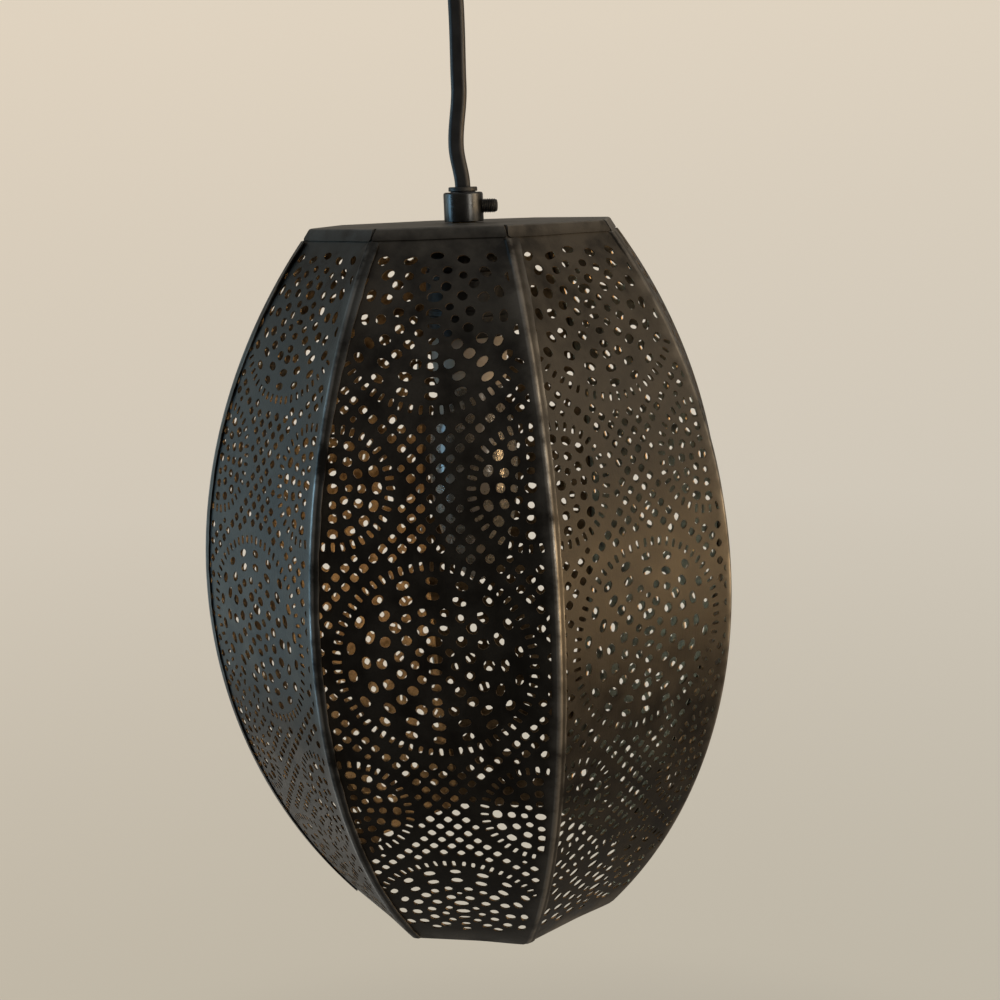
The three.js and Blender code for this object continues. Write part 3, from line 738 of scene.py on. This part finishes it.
def panel_outline():
    """From the lower left corner: lower edge, lap at the right, the slit above it, upper edge, left edge."""
    upper_edge = BEND_RADIUS * math.asin((HALF_HEIGHT - SHEET - FIT_GAP) / BEND_RADIUS)
    bottom = ridge_at(LOWER_EDGE) - EDGE_INSET
    top = ridge_at(upper_edge) - EDGE_INSET
    cut = LAP_TOP + SLIT
    outline = [(x, LOWER_EDGE) for x in steps_between(-bottom, bottom - JOGGLE_START, SHEET_STEP)]
    outline += [(bottom - 0.0011, LOWER_EDGE + 0.0004), (bottom - 0.0006, LOWER_EDGE + 0.0009)]
    outline += [(ridge_at(y) - EDGE_INSET, y) for y in (LOWER_EDGE + 0.001, LAP_LOW)]
    outline += [(ridge_at(LAP_LOW) + lap_width(LAP_LOW) * share, LAP_LOW) for share in (0.3, 0.7)]
    lap_rise = steps_between(LAP_LOW + LAP_CORNER, LAP_TOP - LAP_CORNER, SHEET_STEP)
    outline += [(ridge_at(y) + lap_width(y), y) for y in lap_rise]
    outline += [(ridge_at(LAP_TOP) + lap_width(LAP_TOP) * share, LAP_TOP) for share in (0.7, 0.3)]
    slit_stops = [EDGE_INSET, 0.0012, JOGGLE_START + 0.0002]
    outline += [(ridge_at(LAP_TOP) - past, LAP_TOP) for past in slit_stops]
    outline += [(ridge_at(cut) - past, cut) for past in reversed(slit_stops)]
    outline += [(x, upper_edge) for x in steps_between(top, -top, SHEET_STEP)[:-1]]
    outline += [(EDGE_INSET - ridge_at(y), y) for y in steps_between(upper_edge, LOWER_EDGE, SHEET_STEP)[:-1]]
    return outline


def fold_lines():
    """Lines along the right ridge, where the sheet steps out, folds and lies on its neighbour."""
    rows = [
        (LAP_TOP - 0.018, (-0.0017, -0.0014, -0.0012)),
        (LOWER_EDGE + 0.0014, (-0.001, -0.0008, -0.0006, -0.0004, -0.0002)),
        (LAP_LOW + 0.0003, (0, 0.00025, 0.0005, 0.0012, 0.002)),
    ]
    lines = []
    for low, places in rows:
        rise = steps_between(low, LAP_TOP - 0.0003, SHEET_STEP)
        lines += [[(ridge_at(y) + past, y) for y in rise] for past in places]
    return lines


def stepped_out(past, up):
    """The sheet swells gently towards its right fold, and steps sharply close to the slit at its top."""
    if up > LAP_TOP + SLIT / 2:
        return 0
    gentle = ramp(past, -SWELL_START, SWELL_START - JOGGLE_END)
    sharp = ramp(past, -JOGGLE_START, JOGGLE_START - JOGGLE_END)
    return max(gentle * (1 - smooth((up - LAP_TOP + SWELL_FADE) / SWELL_FADE_SPAN)), sharp)


def panel_place(chance):
    """Gives the function that bends a panel, with its own small unevenness at the lap."""
    waves = [(chance.uniform(40, 110), chance.uniform(0, 6.3)) for _ in range(3)]
    top_lift = chance.uniform(*LAP_LIFT)
    miter = SHEET * SIDE_SLOPE
    fold_radius = FOLD_REACH / SIDE_SLOPE

    def lap_lift(past, up):
        if past <= FOLD_REACH:
            return 0
        uneven = sum(math.sin(pace * up + start) for pace, start in waves) / 3
        lift = LAP_UNEVEN * max(uneven, 0) * ramp(abs(up), *LAP_UNEVEN_FROM)
        lift += top_lift * ramp(up, *LAP_LIFT_FROM)
        return lift * (past - FOLD_REACH) / (LAP_WIDTH - FOLD_REACH)

    def place(x, up, layer):
        angle = up / BEND_RADIUS
        flat, edge = flat_at(up), ridge_at(up)
        past = x - edge
        stepped = stepped_out(past, up)
        offset = stepped * LAP_OUTER + lap_lift(past, up) - layer * SHEET
        if layer:
            left = 1 - smooth((x + edge) / MITER_SPAN)
            right = (1 - stepped) * smooth((past + MITER_SPAN) / MITER_SPAN)
            x += miter * (left - right)
        turned = SIDE_ANGLE * min(max((past + FOLD_REACH) / (2 * FOLD_REACH), 0), 1)
        out = Vector((math.sin(turned), -math.cos(turned), 0))
        if turned == 0:
            base = Vector((x, -flat, 0))
        elif turned < SIDE_ANGLE:
            base = Vector((edge - FOLD_REACH, fold_radius - flat, 0)) + fold_radius * out
        else:
            base = Vector((edge + past * math.cos(turned), past * math.sin(turned) - flat, 0))
        base += offset * math.cos(angle) * out
        base.z = WAIST_Z + (BEND_RADIUS + offset) * math.sin(angle)
        return base

    return place


def panel_rub(x, up):
    """Wear along the ridge, the lap's cut edge and the lower edge."""
    past = x - ridge_at(up)
    ridge = 1 - ramp(abs(past), 0.0004, 0.0009)
    cut = 0.7 * ramp(past, 0.0018, 0.0008)
    lower = 0.6 * (1 - ramp(up, LOWER_EDGE, 0.0015))
    return max(ridge, cut, lower)


flat_panel = (panel_outline(), panel_holes(), fold_lines())
for number in range(SIDES):
    sheet = sheet_solid(*flat_panel, panel_place(random.Random(PANEL_SEED + number)), panel_rub)
    panel = Shape().add(*sheet, matrix=Matrix.Rotation(SIDE_ANGLE * number, 4, "Z"))
    panel.piece(f"panel_{number + 1}", "lantern", [iron, gilt], "antique_iron")


# Top plate: one flat blank with a flap on each side, folded down over the panels

LIP_FOLD = 0.0016
LIP_ANGLE = math.pi / 2 - RIM_ANGLE
LIP_NOTCH = 0.0004
LIP_TAPER = 0.0004
LIP_CORNER = (0.0006, 0.0008)
PLATE_CORNER = BEND_CENTRE + math.sqrt((BEND_RADIUS + LAP_OUTER) ** 2 - HALF_HEIGHT**2)
FOLD_START = PLATE_CORNER - LIP_FOLD * math.tan(LIP_ANGLE / 2)
FOLD_ARC = LIP_FOLD * LIP_ANGLE
FOLD_HALF = FOLD_START * SIDE_SLOPE
LIP_END = FOLD_ARC + LIP_LENGTH - LIP_FOLD * math.tan(LIP_ANGLE / 2)


def around(side, across, out):
    """A point of the flat blank, from a side's own frame."""
    angle = side * SIDE_ANGLE
    cosine, sine = math.cos(angle), math.sin(angle)
    return (across * cosine + out * sine, across * sine - out * cosine)


def within_side(x, y):
    """The side that a point of the flat blank lies on, and its place across and out in that side's frame."""
    side = round(math.atan2(x, -y) / SIDE_ANGLE) % SIDES
    cosine, sine = math.cos(side * SIDE_ANGLE), math.sin(side * SIDE_ANGLE)
    return side, x * cosine + y * sine, x * sine - y * cosine


def plate_outline(chance):
    outline = []
    inner = FOLD_HALF - LIP_NOTCH
    for side in range(SIDES):
        end = LIP_END + chance.uniform(-0.0003, 0.0002)
        wider = inner + end * math.cos(LIP_ANGLE) * SIDE_SLOPE
        corner = wider - LIP_CORNER[0]
        flap = [(-FOLD_HALF, 0), (-inner, 0), (-wider, end - LIP_CORNER[1]), (-corner, end)]
        flap += [(-wider / 3, end + 0.0001), (wider / 3, end - 0.0001)]
        flap += [(corner, end), (wider, end - LIP_CORNER[1]), (inner, 0)]
        outline += [around(side, across, FOLD_START + out) for across, out in flap]
    return outline


def plate_lines():
    """Lines along each side's fold."""
    lines = []
    for side in range(SIDES):
        half = FOLD_HALF - LIP_NOTCH
        for share in (0, 0.2, 0.4, 0.6, 0.8, 1):
            out = FOLD_START + share * FOLD_ARC
            reach = (half if share == 0 else half - 0.0001) + share * FOLD_ARC * 0.2
            lines.append([around(side, x, out) for x in steps_between(-reach, reach, SHEET_STEP)])
    return lines


def plate_place(x, y, layer):
    """Folds a point of the flat blank down with its lip."""
    side, across, out = within_side(x, y)
    past = out - FOLD_START
    bent = min(max(past, 0) / LIP_FOLD, LIP_ANGLE)
    beyond = max(past - FOLD_ARC, 0)
    reach = min(out, FOLD_START) + LIP_FOLD * math.sin(bent) + beyond * math.cos(bent)
    down = LIP_FOLD * (1 - math.cos(bent)) + beyond * math.sin(bent)
    inwards = layer * SHEET if layer else LIP_TAPER * beyond / (LIP_END - FOLD_ARC)
    reach -= inwards * math.sin(bent)
    down += inwards * math.cos(bent)
    return Vector((*around(side, across, reach), PLATE_TOP - down))


def plate_rub(x, y):
    """Wear along the folds."""
    out = within_side(x, y)[2]
    return max(0.9 - smooth(abs(out - FOLD_START - FOLD_ARC / 2) / 0.0012), 0)


tube_hole = [(TUBE_HOLE * math.cos(a), TUBE_HOLE * math.sin(a)) for a in map(math.radians, even(40))]
flat_plate = (plate_outline(random.Random(PLATE_SEED)), [tube_hole], plate_lines())
plate = Shape().add(*sheet_solid(*flat_plate, plate_place, plate_rub))
plate.piece("top_plate", "lantern", [iron, gilt], "antique_iron")


# Turned parts, each fitted to its node's own box

def turn(profile, node, body, material, slot, steps, side=0):
    """Makes a node's piece, turned about Z or, where a side is given, about X. The profile is a function
    of the node's start and end along that axis, its radius and the angle."""
    low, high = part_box(node)
    if side:
        start, end = sorted((abs(low[0]), abs(high[0])))
        radius = (high[2] - low[2]) / 2
        lying = Matrix.Rotation(side * math.pi / 2, 4, "Y")
        place = Matrix.Translation((0, 0, (low[2] + high[2]) / 2)) @ lying
    else:
        start, end = low[2], high[2]
        radius = (high[1] - low[1]) / 2
        place = Matrix.Translation(((low[0] + high[0]) / 2, 0, 0))
    verts, faces = lathe(lambda angle: profile(start, end, radius, angle), steps)
    Shape().add(verts, faces, matrix=place).piece(node, body, [material], slot)


def turned_piece(*how):
    """Makes the piece of the node that a profile function is named after."""
    def make(profile):
        turn(profile, profile.__name__, *how)
        return profile

    return make


# Collar, bush and set screw

@turned_piece("lantern", collar_iron, "antique_iron", 96)
def cord_grip(low, high, outer, angle):
    profile = [(outer, low, 0.0003), (outer, high, 0.0011)]
    return filleted(profile + [(TUBE_HOLE, high, 0.0003), (TUBE_HOLE, low, SMALL_ROUND)], 0.0003, True, 5)


@turned_piece("lantern", black_plastic, "black_plastic", 72)
def grip_bush(low, high, outer, angle):
    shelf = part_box("cord_grip")[1][2] + FIT_GAP
    profile = [(TUBE_RADIUS, low), (TUBE_RADIUS, shelf), (outer, shelf), (outer, high, 0.0007)]
    profile += [(FLEX_BORE + 0.0009, high, 0.0004), (FLEX_BORE, high - 0.0015), (FLEX_BORE, low)]
    return filleted(profile, SMALL_ROUND, True)


@turned_piece("grip_screw", black_plastic, "black_plastic", 72, 1)
def set_screw(start, end, crest, angle):
    """A threaded screw with a slotted end."""
    root = crest - 0.00045
    chamfer = 0.0006
    slot_half, slot_deep = 0.00045, 0.0013
    slotted = abs(math.sin(angle)) * crest < slot_half
    face = end - slot_deep if slotted else end
    points = [(0, start), (root - chamfer, start), (root, start + chamfer)]
    points += thread(start + chamfer, end - 0.0005, root, crest, SCREW_PITCH, angle, 8)
    points += [(root - 0.0001, face if slotted else end - 0.0002), (root - chamfer, face)]
    return points + [(root * 0.5, face), (0, end - slot_deep)]


# Tube, washer and nut

def hex_nut(node, body, material, slot):
    """A chamfered nut with its thread. Its flats lie as the node's do."""
    low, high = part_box(node)
    wide, deep = high[0] - low[0], high[1] - low[1]
    low, high = low[2], high[2]
    flats = min(wide, deep)
    turned = math.pi / 6 if wide > deep else 0
    chamfer = 0.0006
    mouth = TUBE_HOLE + chamfer

    def profile(angle):
        side = hex_radius(angle + turned, flats)
        face = min(side, flats / 2 + 0.0001)
        drop = (side - face) * 0.6 + 0.0001
        points = [(face, low), (side, low + drop), (side, high - drop), (face, high), (mouth, high)]
        inner = thread(low + chamfer, high - chamfer, TUBE_HOLE, TUBE_HOLE + 0.0003, TUBE_PITCH, angle, 6)
        return points + inner[::-1] + [(mouth, low)]

    Shape().add(*lathe(profile, 72)).piece(node, body, [material], slot)


hex_nut("lock_nut", "lantern", brass, "brass")


@turned_piece("lantern", brass, "brass", 56)
def threaded_tube(low, high, outer, angle):
    root = outer - 0.0005
    wave = thread(low + 0.0003, high - 0.0003, root, outer, TUBE_PITCH, angle, 6)
    return [(FLEX_BORE, low), (root, low)] + wave + [(root, high), (FLEX_BORE, high)]


@turned_piece("lantern", steel, "steel", 64)
def washer(low, high, outer, angle):
    return filleted([(outer, low), (outer, high), (TUBE_HOLE, high), (TUBE_HOLE, low)], 0.00025, True)


# Lampholder

@turned_piece("lantern", black_plastic, "black_plastic", 144)
def holder_cap(low, high, outer, angle):
    neck, grips = 0.008, 36
    shoulder = high - 0.004
    rim = outer - HOLDER_WALL
    skin = outer - 0.0006
    grip = skin - 0.00035 * (0.5 + 0.5 * math.cos(grips * angle))
    points = [(rim, low), (outer, low, 0.0003), (outer, low + 0.0028), (skin, low + 0.0034)]
    points += [(grip, low + 0.004), (grip - 0.0001, shoulder - 0.0052)]
    points += [(outer - 0.0014, shoulder - 0.003, 0.002), (neck + 0.001, shoulder, 0.001)]
    points += [(neck, high, 0.0004), (TUBE_HOLE, high), (TUBE_HOLE, shoulder - HOLDER_WALL)]
    points += [(rim - HOLDER_WALL, shoulder - 0.0035, 0.002), (rim, shoulder - 0.0055)]
    return filleted(points, SMALL_ROUND, True, 3)


@turned_piece("lantern", black_plastic, "black_plastic", 96)
def holder_body(low, high, outer, angle):
    """The holder's lower part, with a rib round it."""
    mouth = 0.009
    floor = low + HOLDER_WALL
    skin, lining = outer - 0.0006, outer - HOLDER_WALL
    profile = [(mouth, low), (outer - 0.0012, low, 0.0008), (skin, low + 0.004, 0.0004)]
    profile += [(skin, low + 0.0062), (outer, low + 0.0066), (outer, low + 0.0086)]
    profile += [(skin, low + 0.009), (skin, low + 0.011), (outer, low + 0.0114)]
    profile += [(outer, high, 0.0003), (lining, high), (lining, floor), (mouth, floor)]
    return filleted(profile, SMALL_ROUND, True)


@turned_piece("lantern", grey_plastic, "grey_plastic", 64)
def holder_core(low, high, outer, angle):
    groove, dip = low + 0.0006, high - 0.0008
    profile = [(0, low), (0.0045, low), (0.005, groove), (0.0105, groove), (0.011, low)]
    profile += [(outer, low, 0.0003), (outer, high, 0.0003), (0.006, high), (0.0055, dip), (0, dip)]
    return filleted(profile, 0.00015, False)


@turned_piece("lantern", brass, "brass", 72)
def screw_shell(low, high, flange, angle):
    """The holder's threaded shell, rolled from thin sheet, with a flange on top."""
    crest, root, wall = 0.0083, 0.0079, 0.0004
    neck = root + 0.0002
    wave = thread(low + 0.0008, high - 0.0025, root, crest, LAMP_PITCH, angle, 10, True)
    points = [(crest, low)] + wave + [(neck, high - 0.0009), (flange, high - 0.0007), (flange, high)]
    inner = [(r - wall, z) for r, z in [(neck, high - 0.0003)] + wave[::-1]]
    return points + inner + [(crest - wall, low)]


def contact_tongue():
    """A strip of springy brass, bent down to meet the lamp's contact."""
    low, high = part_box("contact_tongue")
    thick = 0.0004
    half = (high[1] - low[1]) / 2
    bend = (0.35 * low[0], high[2])
    path = [(low[0], high[2]), bend, (high[0] - 0.0008, low[2] + thick), (high[0], low[2] + thick + 0.0002)]
    rows = []
    for x, z in filleted(path, 0.0015, False, 5):
        rows.append([(x, -half, z), (x, half, z), (x, half, z - thick), (x, -half, z - thick)])
    Shape().add(*tube(rows)).piece("contact_tongue", "lantern", [brass], "brass")


contact_tongue()


# Candle lamp

@turned_piece("lamp", brass, "brass", 40)
def lamp_contact(low, high, outer, angle):
    tall = high - low
    profile = [(0, low), (outer, low), (outer, low + 0.25 * tall), (0.9 * outer, low + 0.55 * tall)]
    return filleted(profile + [(0.6 * outer, low + 0.85 * tall), (0, high)], 0.0006, False)


@turned_piece("lamp", black_plastic, "black_plastic", 48)
def lamp_insulator(low, high, outer, angle):
    profile = [(0, low), (outer, low), (outer - 0.0003, low + 0.0006, 0.0004)]
    return filleted(profile + [(0.0032, high, 0.0005), (0, high)], SMALL_ROUND, False)


@turned_piece("lamp", steel, "steel", 72)
def lamp_cap(low, high, crest, angle):
    wall = 0.00035
    mouth, neck = crest - 0.0001, crest - 0.0008
    wave = thread(low + 0.0012, high - 0.0006, crest - 0.0005, crest, LAMP_PITCH, angle, 10, True)
    inner = [(r - wall, z) for r, z in wave[::-1]]
    points = [(mouth, low)] + wave + [(neck, high), (neck - wall, high - 0.0001)]
    return points + inner + [(mouth - wall, low)]


@turned_piece("lamp", shaded_neck_plastic, "pale_plastic", 96)
def lamp_neck(low, high, outer, angle):
    """The lamp's plastic base with a groove round it, and the stem that fills the screw cap."""
    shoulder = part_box("lamp_cap")[0][2] - FIT_GAP
    stem = 0.0059
    skin, groove = outer - 0.0004, outer - 0.0009
    profile = [(0, low), (outer - 0.0016, low, 0.0006), (skin, low + 0.0028, 0.001), (skin, low + 0.0062)]
    profile += [(groove, low + 0.0065), (groove, low + 0.0071), (skin, low + 0.0074), (outer, low + 0.012)]
    profile += [(outer - 0.0002, shoulder - 0.0026, 0.0016), (outer - 0.0032, shoulder, 0.0009)]
    return filleted(profile + [(stem, shoulder), (stem, high, 0.0004), (0, high)], SMALL_ROUND, False)


@turned_piece("lamp", frosted_glass, "frosted_glass", 96)
def lamp_envelope(low, high, outer, angle):
    """The candle, blown in thin glass and open at its neck."""
    wall, length = 0.0008, high - low
    shares = [(0.008, 0.13), (0.03, 0.27), (0.07, 0.43), (0.13, 0.59), (0.2, 0.72), (0.29, 0.84)]
    shares += [(0.38, 0.93), (0.5, 0.985), (0.6, 1), (0.7, 0.975), (0.8, 0.92), (0.88, 0.83)]
    shares += [(0.94, 0.74), (1, 0.681)]
    skin = [(0, low)] + [(out * outer, low + up * length) for up, out in shares]
    neck = skin.pop()[0]
    lining = [(max(r - wall, 0.0004), z + 0.3 * wall) for r, z in skin[:0:-1]]
    profile = filleted(skin + [(neck, high, 0.0002)], 0.03, False, 3)
    return profile + [(neck - wall, high)] + lining + [(0, low + wall)]


# Ceiling fitting

CUP_WALL = 0.001
CUP_FLOOR = 0.022
CUP_BOWL = 0.02


@turned_piece("ceiling_fitting", iron, "antique_iron", 128)
def ceiling_cup(low, high, outer, angle):
    """A spun cup with a rolled rim at the ceiling and a small step round its grip."""
    ledge = low + 0.0004

    def bowl(inset):
        points = []
        for i in range(13):
            slope = math.pi / 2 * i / 12
            out = (outer - CUP_FLOOR - inset) * math.sin(slope)
            points.append((CUP_FLOOR + out, low + CUP_BOWL - (CUP_BOWL - inset) * math.cos(slope)))
        return points

    step = [(TUBE_HOLE, low), (0.0112, low), (0.0118, ledge), (CUP_FLOOR - 0.002, ledge)]
    wall = [*bowl(0)[1:], (outer - 0.0002, high - 0.0022), (outer, high - 0.0018), (outer, high)]
    return step + wall + [(outer - CUP_WALL, high), *bowl(CUP_WALL)[::-1], (TUBE_HOLE, low + CUP_WALL)]


def cup_screw(start, end, head, angle):
    """A small domed screw with a slot. Its head is outside the cup."""
    shank, dome = 0.0015, 0.0025
    root = shank - 0.0004
    slot_half, slot_deep = 0.0004, 0.0009
    drop = slot_deep if abs(math.sin(angle)) * head < slot_half else 0
    points = [(0, start), (shank - 0.0005, start)]
    points += thread(start + 0.0002, end - dome - 0.0005, root, shank, SCREW_PITCH, angle, 6)
    points += [(shank, end - dome), (head, end - dome), (head, end - dome + 0.0004)]
    points += [(head * share, end - dome * 0.75 * share**2 - drop) for share in (0.9, 0.7, 0.4)]
    return points + [(0, end - slot_deep)]


def rounded_strap(reach, half_width, corner):
    """The outline of a strap with rounded corners."""
    outline = []
    for sx, sy in ((1, -1), (1, 1), (-1, 1), (-1, -1)):
        for a in map(math.radians, (0, 30, 60, 90)):
            out, back = (math.sin(a), 1 - math.cos(a)) if sx * sy < 0 else (math.cos(a), 1 - math.sin(a))
            outline.append((sx * (reach - corner + corner * out), sy * (half_width - corner * back)))
    return outline


def round_slot(centre, length, width):
    """A slot with round ends, along X."""
    radius = width / 2
    points = []
    for side in (1, -1):
        for a in map(math.radians, range(-90, 91, 30)):
            out = length / 2 - radius + radius * math.cos(a)
            points.append((centre + side * out, side * radius * math.sin(a)))
    return points


def mounting_bar():
    """A steel strap with slots, its ends turned down."""
    low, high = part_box("mounting_bar")
    half, half_width = high[0], high[1]
    thick, fold = 0.002, 0.0028
    arc = fold * math.pi / 2
    start = half - fold
    reach = start + arc + (high[2] - low[2]) - fold

    def place(x, y, layer):
        side = 1 if x > 0 else -1
        past = abs(x) - start
        bent = min(max(past, 0) / fold, math.pi / 2)
        inwards = layer * thick
        out = min(abs(x), start) + fold * math.sin(bent) - inwards * math.sin(bent)
        down = fold * (1 - math.cos(bent)) + max(past - arc, 0) + inwards * math.cos(bent)
        return Vector((side * out, y, high[2] - down))

    ear = start + arc + 0.008 - fold
    holes = [round_slot(centre, 0.012, 0.0045) for centre in (0.023, -0.023)]
    holes += [round_slot(centre, 0.0037, 0.0036) for centre in (ear, -ear, 0.0085)]
    folds = [side * (start + arc * k / 5) for side in (1, -1) for k in range(6)]
    lines = [[(x, y) for y in steps_between(-half_width, half_width, SHEET_STEP)] for x in folds]
    verts, faces, *_ = sheet_solid(rounded_strap(reach, half_width, 0.0016), holes, lines, place)
    Shape().add(verts, faces).piece("mounting_bar", "ceiling_fitting", [steel], "steel")


def terminal_block():
    """A bar under the strap with two towers below it."""
    low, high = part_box("terminal_block")
    size = Vector(high) - Vector(low)
    middle = (Vector(high) + Vector(low)).x / 2
    bar = (size.x, size.y * 0.96, size.z * 0.62)
    tower = (size.x * 0.86, size.y * 0.44, size.z * 0.5)
    made = Shape().add(*block(bar, (middle, 0, high[2] - bar[2] / 2), 0.0005))
    for side in (-1, 1):
        made.add(*block(tower, (middle, side * size.y * 0.27, low[2] + tower[2] / 2), 0.0007))
    made.piece("terminal_block", "ceiling_fitting", [pale_plastic], "pale_plastic")


turn(cup_screw, "cup_screw_right", "ceiling_fitting", dark_brass, "dark_brass", 64, 1)
turn(cup_screw, "cup_screw_left", "ceiling_fitting", dark_brass, "dark_brass", 64, -1)
mounting_bar()
terminal_block()


@turned_piece("ceiling_fitting", steel, "steel", 48)
def terminal_screw(start, end, head, angle):
    """A slotted screw, its head below the terminal block."""
    shank = 0.0015
    slot_half, slot_deep = 0.0004, 0.0007
    face = start + (slot_deep if abs(math.sin(angle)) * head < slot_half else 0)
    points = [(0, start + slot_deep), (head * 0.6, face), (head - 0.0003, face + 0.0002)]
    points += [(head, start + 0.0009), (head, start + 0.0018), (shank, start + 0.0018)]
    points += thread(start + 0.002, end - 0.0004, shank - 0.0003, shank, SCREW_PITCH, angle, 6)
    return points + [(shank - 0.0004, end), (0, end)]


@turned_piece("ceiling_fitting", black_plastic, "black_plastic", 120)
def ceiling_grip(low, high, outer, angle):
    """The ceiling's cord grip: a fluted knob below the cup and a threaded stem above its floor."""
    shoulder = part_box("ceiling_cup")[0][2] - FIT_GAP
    root, flutes = TUBE_RADIUS - 0.0004, 20
    skin = outer - 0.0004 * (0.5 + 0.5 * math.cos(flutes * angle))
    points = [(FLEX_BORE + 0.001, low, 0.0003), (outer - 0.0014, low, 0.0006), (skin, low + 0.0022, 0.0006)]
    points += [(skin, shoulder - 0.0012), (outer, shoulder - 0.0008), (outer, shoulder)]
    knob = filleted(points + [(TUBE_RADIUS, shoulder)], SMALL_ROUND, True, 3)[:-5]
    stem = thread(shoulder + 0.0002, high - 0.0003, root, TUBE_RADIUS, TUBE_PITCH, angle, 6)
    return knob + stem + [(root, high), (FLEX_BORE, high), (FLEX_BORE, low + 0.002)]


hex_nut("ceiling_grip_nut", "ceiling_fitting", black_plastic, "black_plastic")


# Studio: a pale round sweep, lamps at both sides

STUDIO_RADIUS = 5.0
STUDIO_FLOOR = -3.2
STUDIO_TOP = 4.0
STUDIO_FILLET = 3.0
PALE = (0.22, 0.21, 0.195)
MIRRORED = 0.4
LAMP_TARGET = (0, 0, WAIST_Z)
# The backdrop's painted light, brighter up high and darker towards the floor, from the floor up: height,
# colour
BACKDROP_LIGHT_BY_HEIGHT = [
    (-3.2, (0.2, 0.18, 0.15)),
    (-2.85, (0.39, 0.355, 0.285)),
    (-1.4, (0.55, 0.5, 0.42)),
    (0.6, (0.67, 0.59, 0.48)),
    (4.0, (0.72, 0.66, 0.58)),
]
# The ambient light, from the horizon straight up: share of the height, colour
AMBIENT_TONES = [
    (0.0, (0.01, 0.008, 0.006)),
    (0.42, (0.03, 0.026, 0.02)),
    (0.62, (0.45, 0.43, 0.4)),
    (1.0, (0.9, 0.87, 0.82)),
]
# What is seen over the backdrop's top edge
CEILING_TONE = (0.79, 0.7, 0.59)
# Name, place, width and height, watts, colour
LAMPS = [
    ("window", (-1.85, -0.35, -0.3), (0.3, 1.6), 32, (0.4, 0.73, 1.0)),
    ("left_wall", (-1.85, 0.5, -0.35), (0.8, 1.8), 7, (0.8, 1.0, 1.0)),
    ("left_low", (-1.5, 0.6, -1.9), (0.9, 0.9), 3.5, (1.0, 0.95, 0.86)),
    ("room", (1.85, -0.3, -0.55), (0.8, 0.6), 42, (1.0, 0.66, 0.33)),
    ("room_above", (1.85, -0.3, 0.4), (0.9, 1.0), 27, (1.0, 0.8, 0.56)),
    ("doorway", (1.42, -1.25, -0.1), (0.3, 1.2), 20, (1.0, 0.92, 0.8)),
]


def tone_ramp(tree, source, tones, low, high):
    """A colour that changes along a value, through the given stops."""
    ramp = node_of(tree, "ValToRGB", Fac=spread(tree, source, 0, 1, low, high))
    stops = ramp.color_ramp.elements
    while len(stops) < len(tones):
        stops.new(0.5)
    for stop, (place, colour) in zip(stops, tones):
        stop.position = (place - low) / (high - low)
        stop.color = (*colour, 1)
    return ramp.outputs["Color"]


def studio_material():
    """A pale surface that glows with painted light to the camera, through glass and, weaker, in metal:
    brighter up high and darker towards the floor.
    """
    material, shader = surface("studio")
    tree = material.node_tree
    height = height_share(tree, node_of(tree, "NewGeometry").outputs["Position"])
    # Painted light: the backdrop glows brighter up high and darker towards the floor
    tone = tone_ramp(tree, height, BACKDROP_LIGHT_BY_HEIGHT, STUDIO_FLOOR, STUDIO_TOP)
    ray = node_of(tree, "LightPath").outputs
    seen = calculated(tree, "MULTIPLY_ADD", ray["Is Glossy Ray"], MIRRORED, ray["Is Camera Ray"])
    seen = calculated(tree, "ADD", ray["Is Transmission Ray"], seen)
    look = {"Base_Color": PALE, "Roughness": 0.95, "Emission_Color": tone, "Emission_Strength": seen}
    feed_named(tree, shader, look)
    return material


def studio():
    """A round floor that curves up into a wall."""
    profile = [(0, STUDIO_FLOOR), (STUDIO_RADIUS - STUDIO_FILLET, STUDIO_FLOOR)]
    for i in range(1, 17):
        angle = math.pi / 2 * i / 16
        out = STUDIO_RADIUS - STUDIO_FILLET + STUDIO_FILLET * math.sin(angle)
        profile.append((out, STUDIO_FLOOR + STUDIO_FILLET * (1 - math.cos(angle))))
    profile.append((STUDIO_RADIUS, STUDIO_TOP))
    steps = 64
    angles = [2 * math.pi * i / steps for i in range(steps)]
    verts = [(r * math.cos(a), r * math.sin(a), z) for a in angles for r, z in profile]
    faces = round_faces(steps, len(profile), False)
    mesh = bpy.data.meshes.new("studio_sweep")
    mesh.from_pydata(verts, [], faces)
    mesh.materials.append(studio_material())
    mesh.shade_smooth()
    sweep = new_object("studio_sweep", mesh)
    sweep.visible_diffuse = False


def area_lamp(name, place, size, power, colour):
    data = bpy.data.lights.new(name, "AREA")
    data.shape = "RECTANGLE"
    data.size, data.size_y = size
    data.energy = power
    data.color = colour
    lamp = new_object(name, data)
    lamp.location = place
    lamp.rotation_euler = (Vector(LAMP_TARGET) - Vector(place)).to_track_quat("-Z", "Y").to_euler()


def ambient_light():
    """Soft light from above, fading towards the floor."""
    world = bpy.data.worlds.new("world")
    world.use_nodes = True
    tree = world.node_tree
    height = height_share(tree, node_of(tree, "TexCoord").outputs["Generated"])
    light = tone_ramp(tree, height, AMBIENT_TONES, 0, 1)
    seen = node_of(tree, "LightPath").outputs["Is Camera Ray"]
    feed_named(tree, tree.nodes["Background"], {"Color": blended(tree, seen, light, CEILING_TONE)})
    bpy.context.scene.world = world


studio()
for lamp in LAMPS:
    area_lamp(*lamp)
ambient_light()

bpy.context.scene.view_settings.view_transform = "Standard"
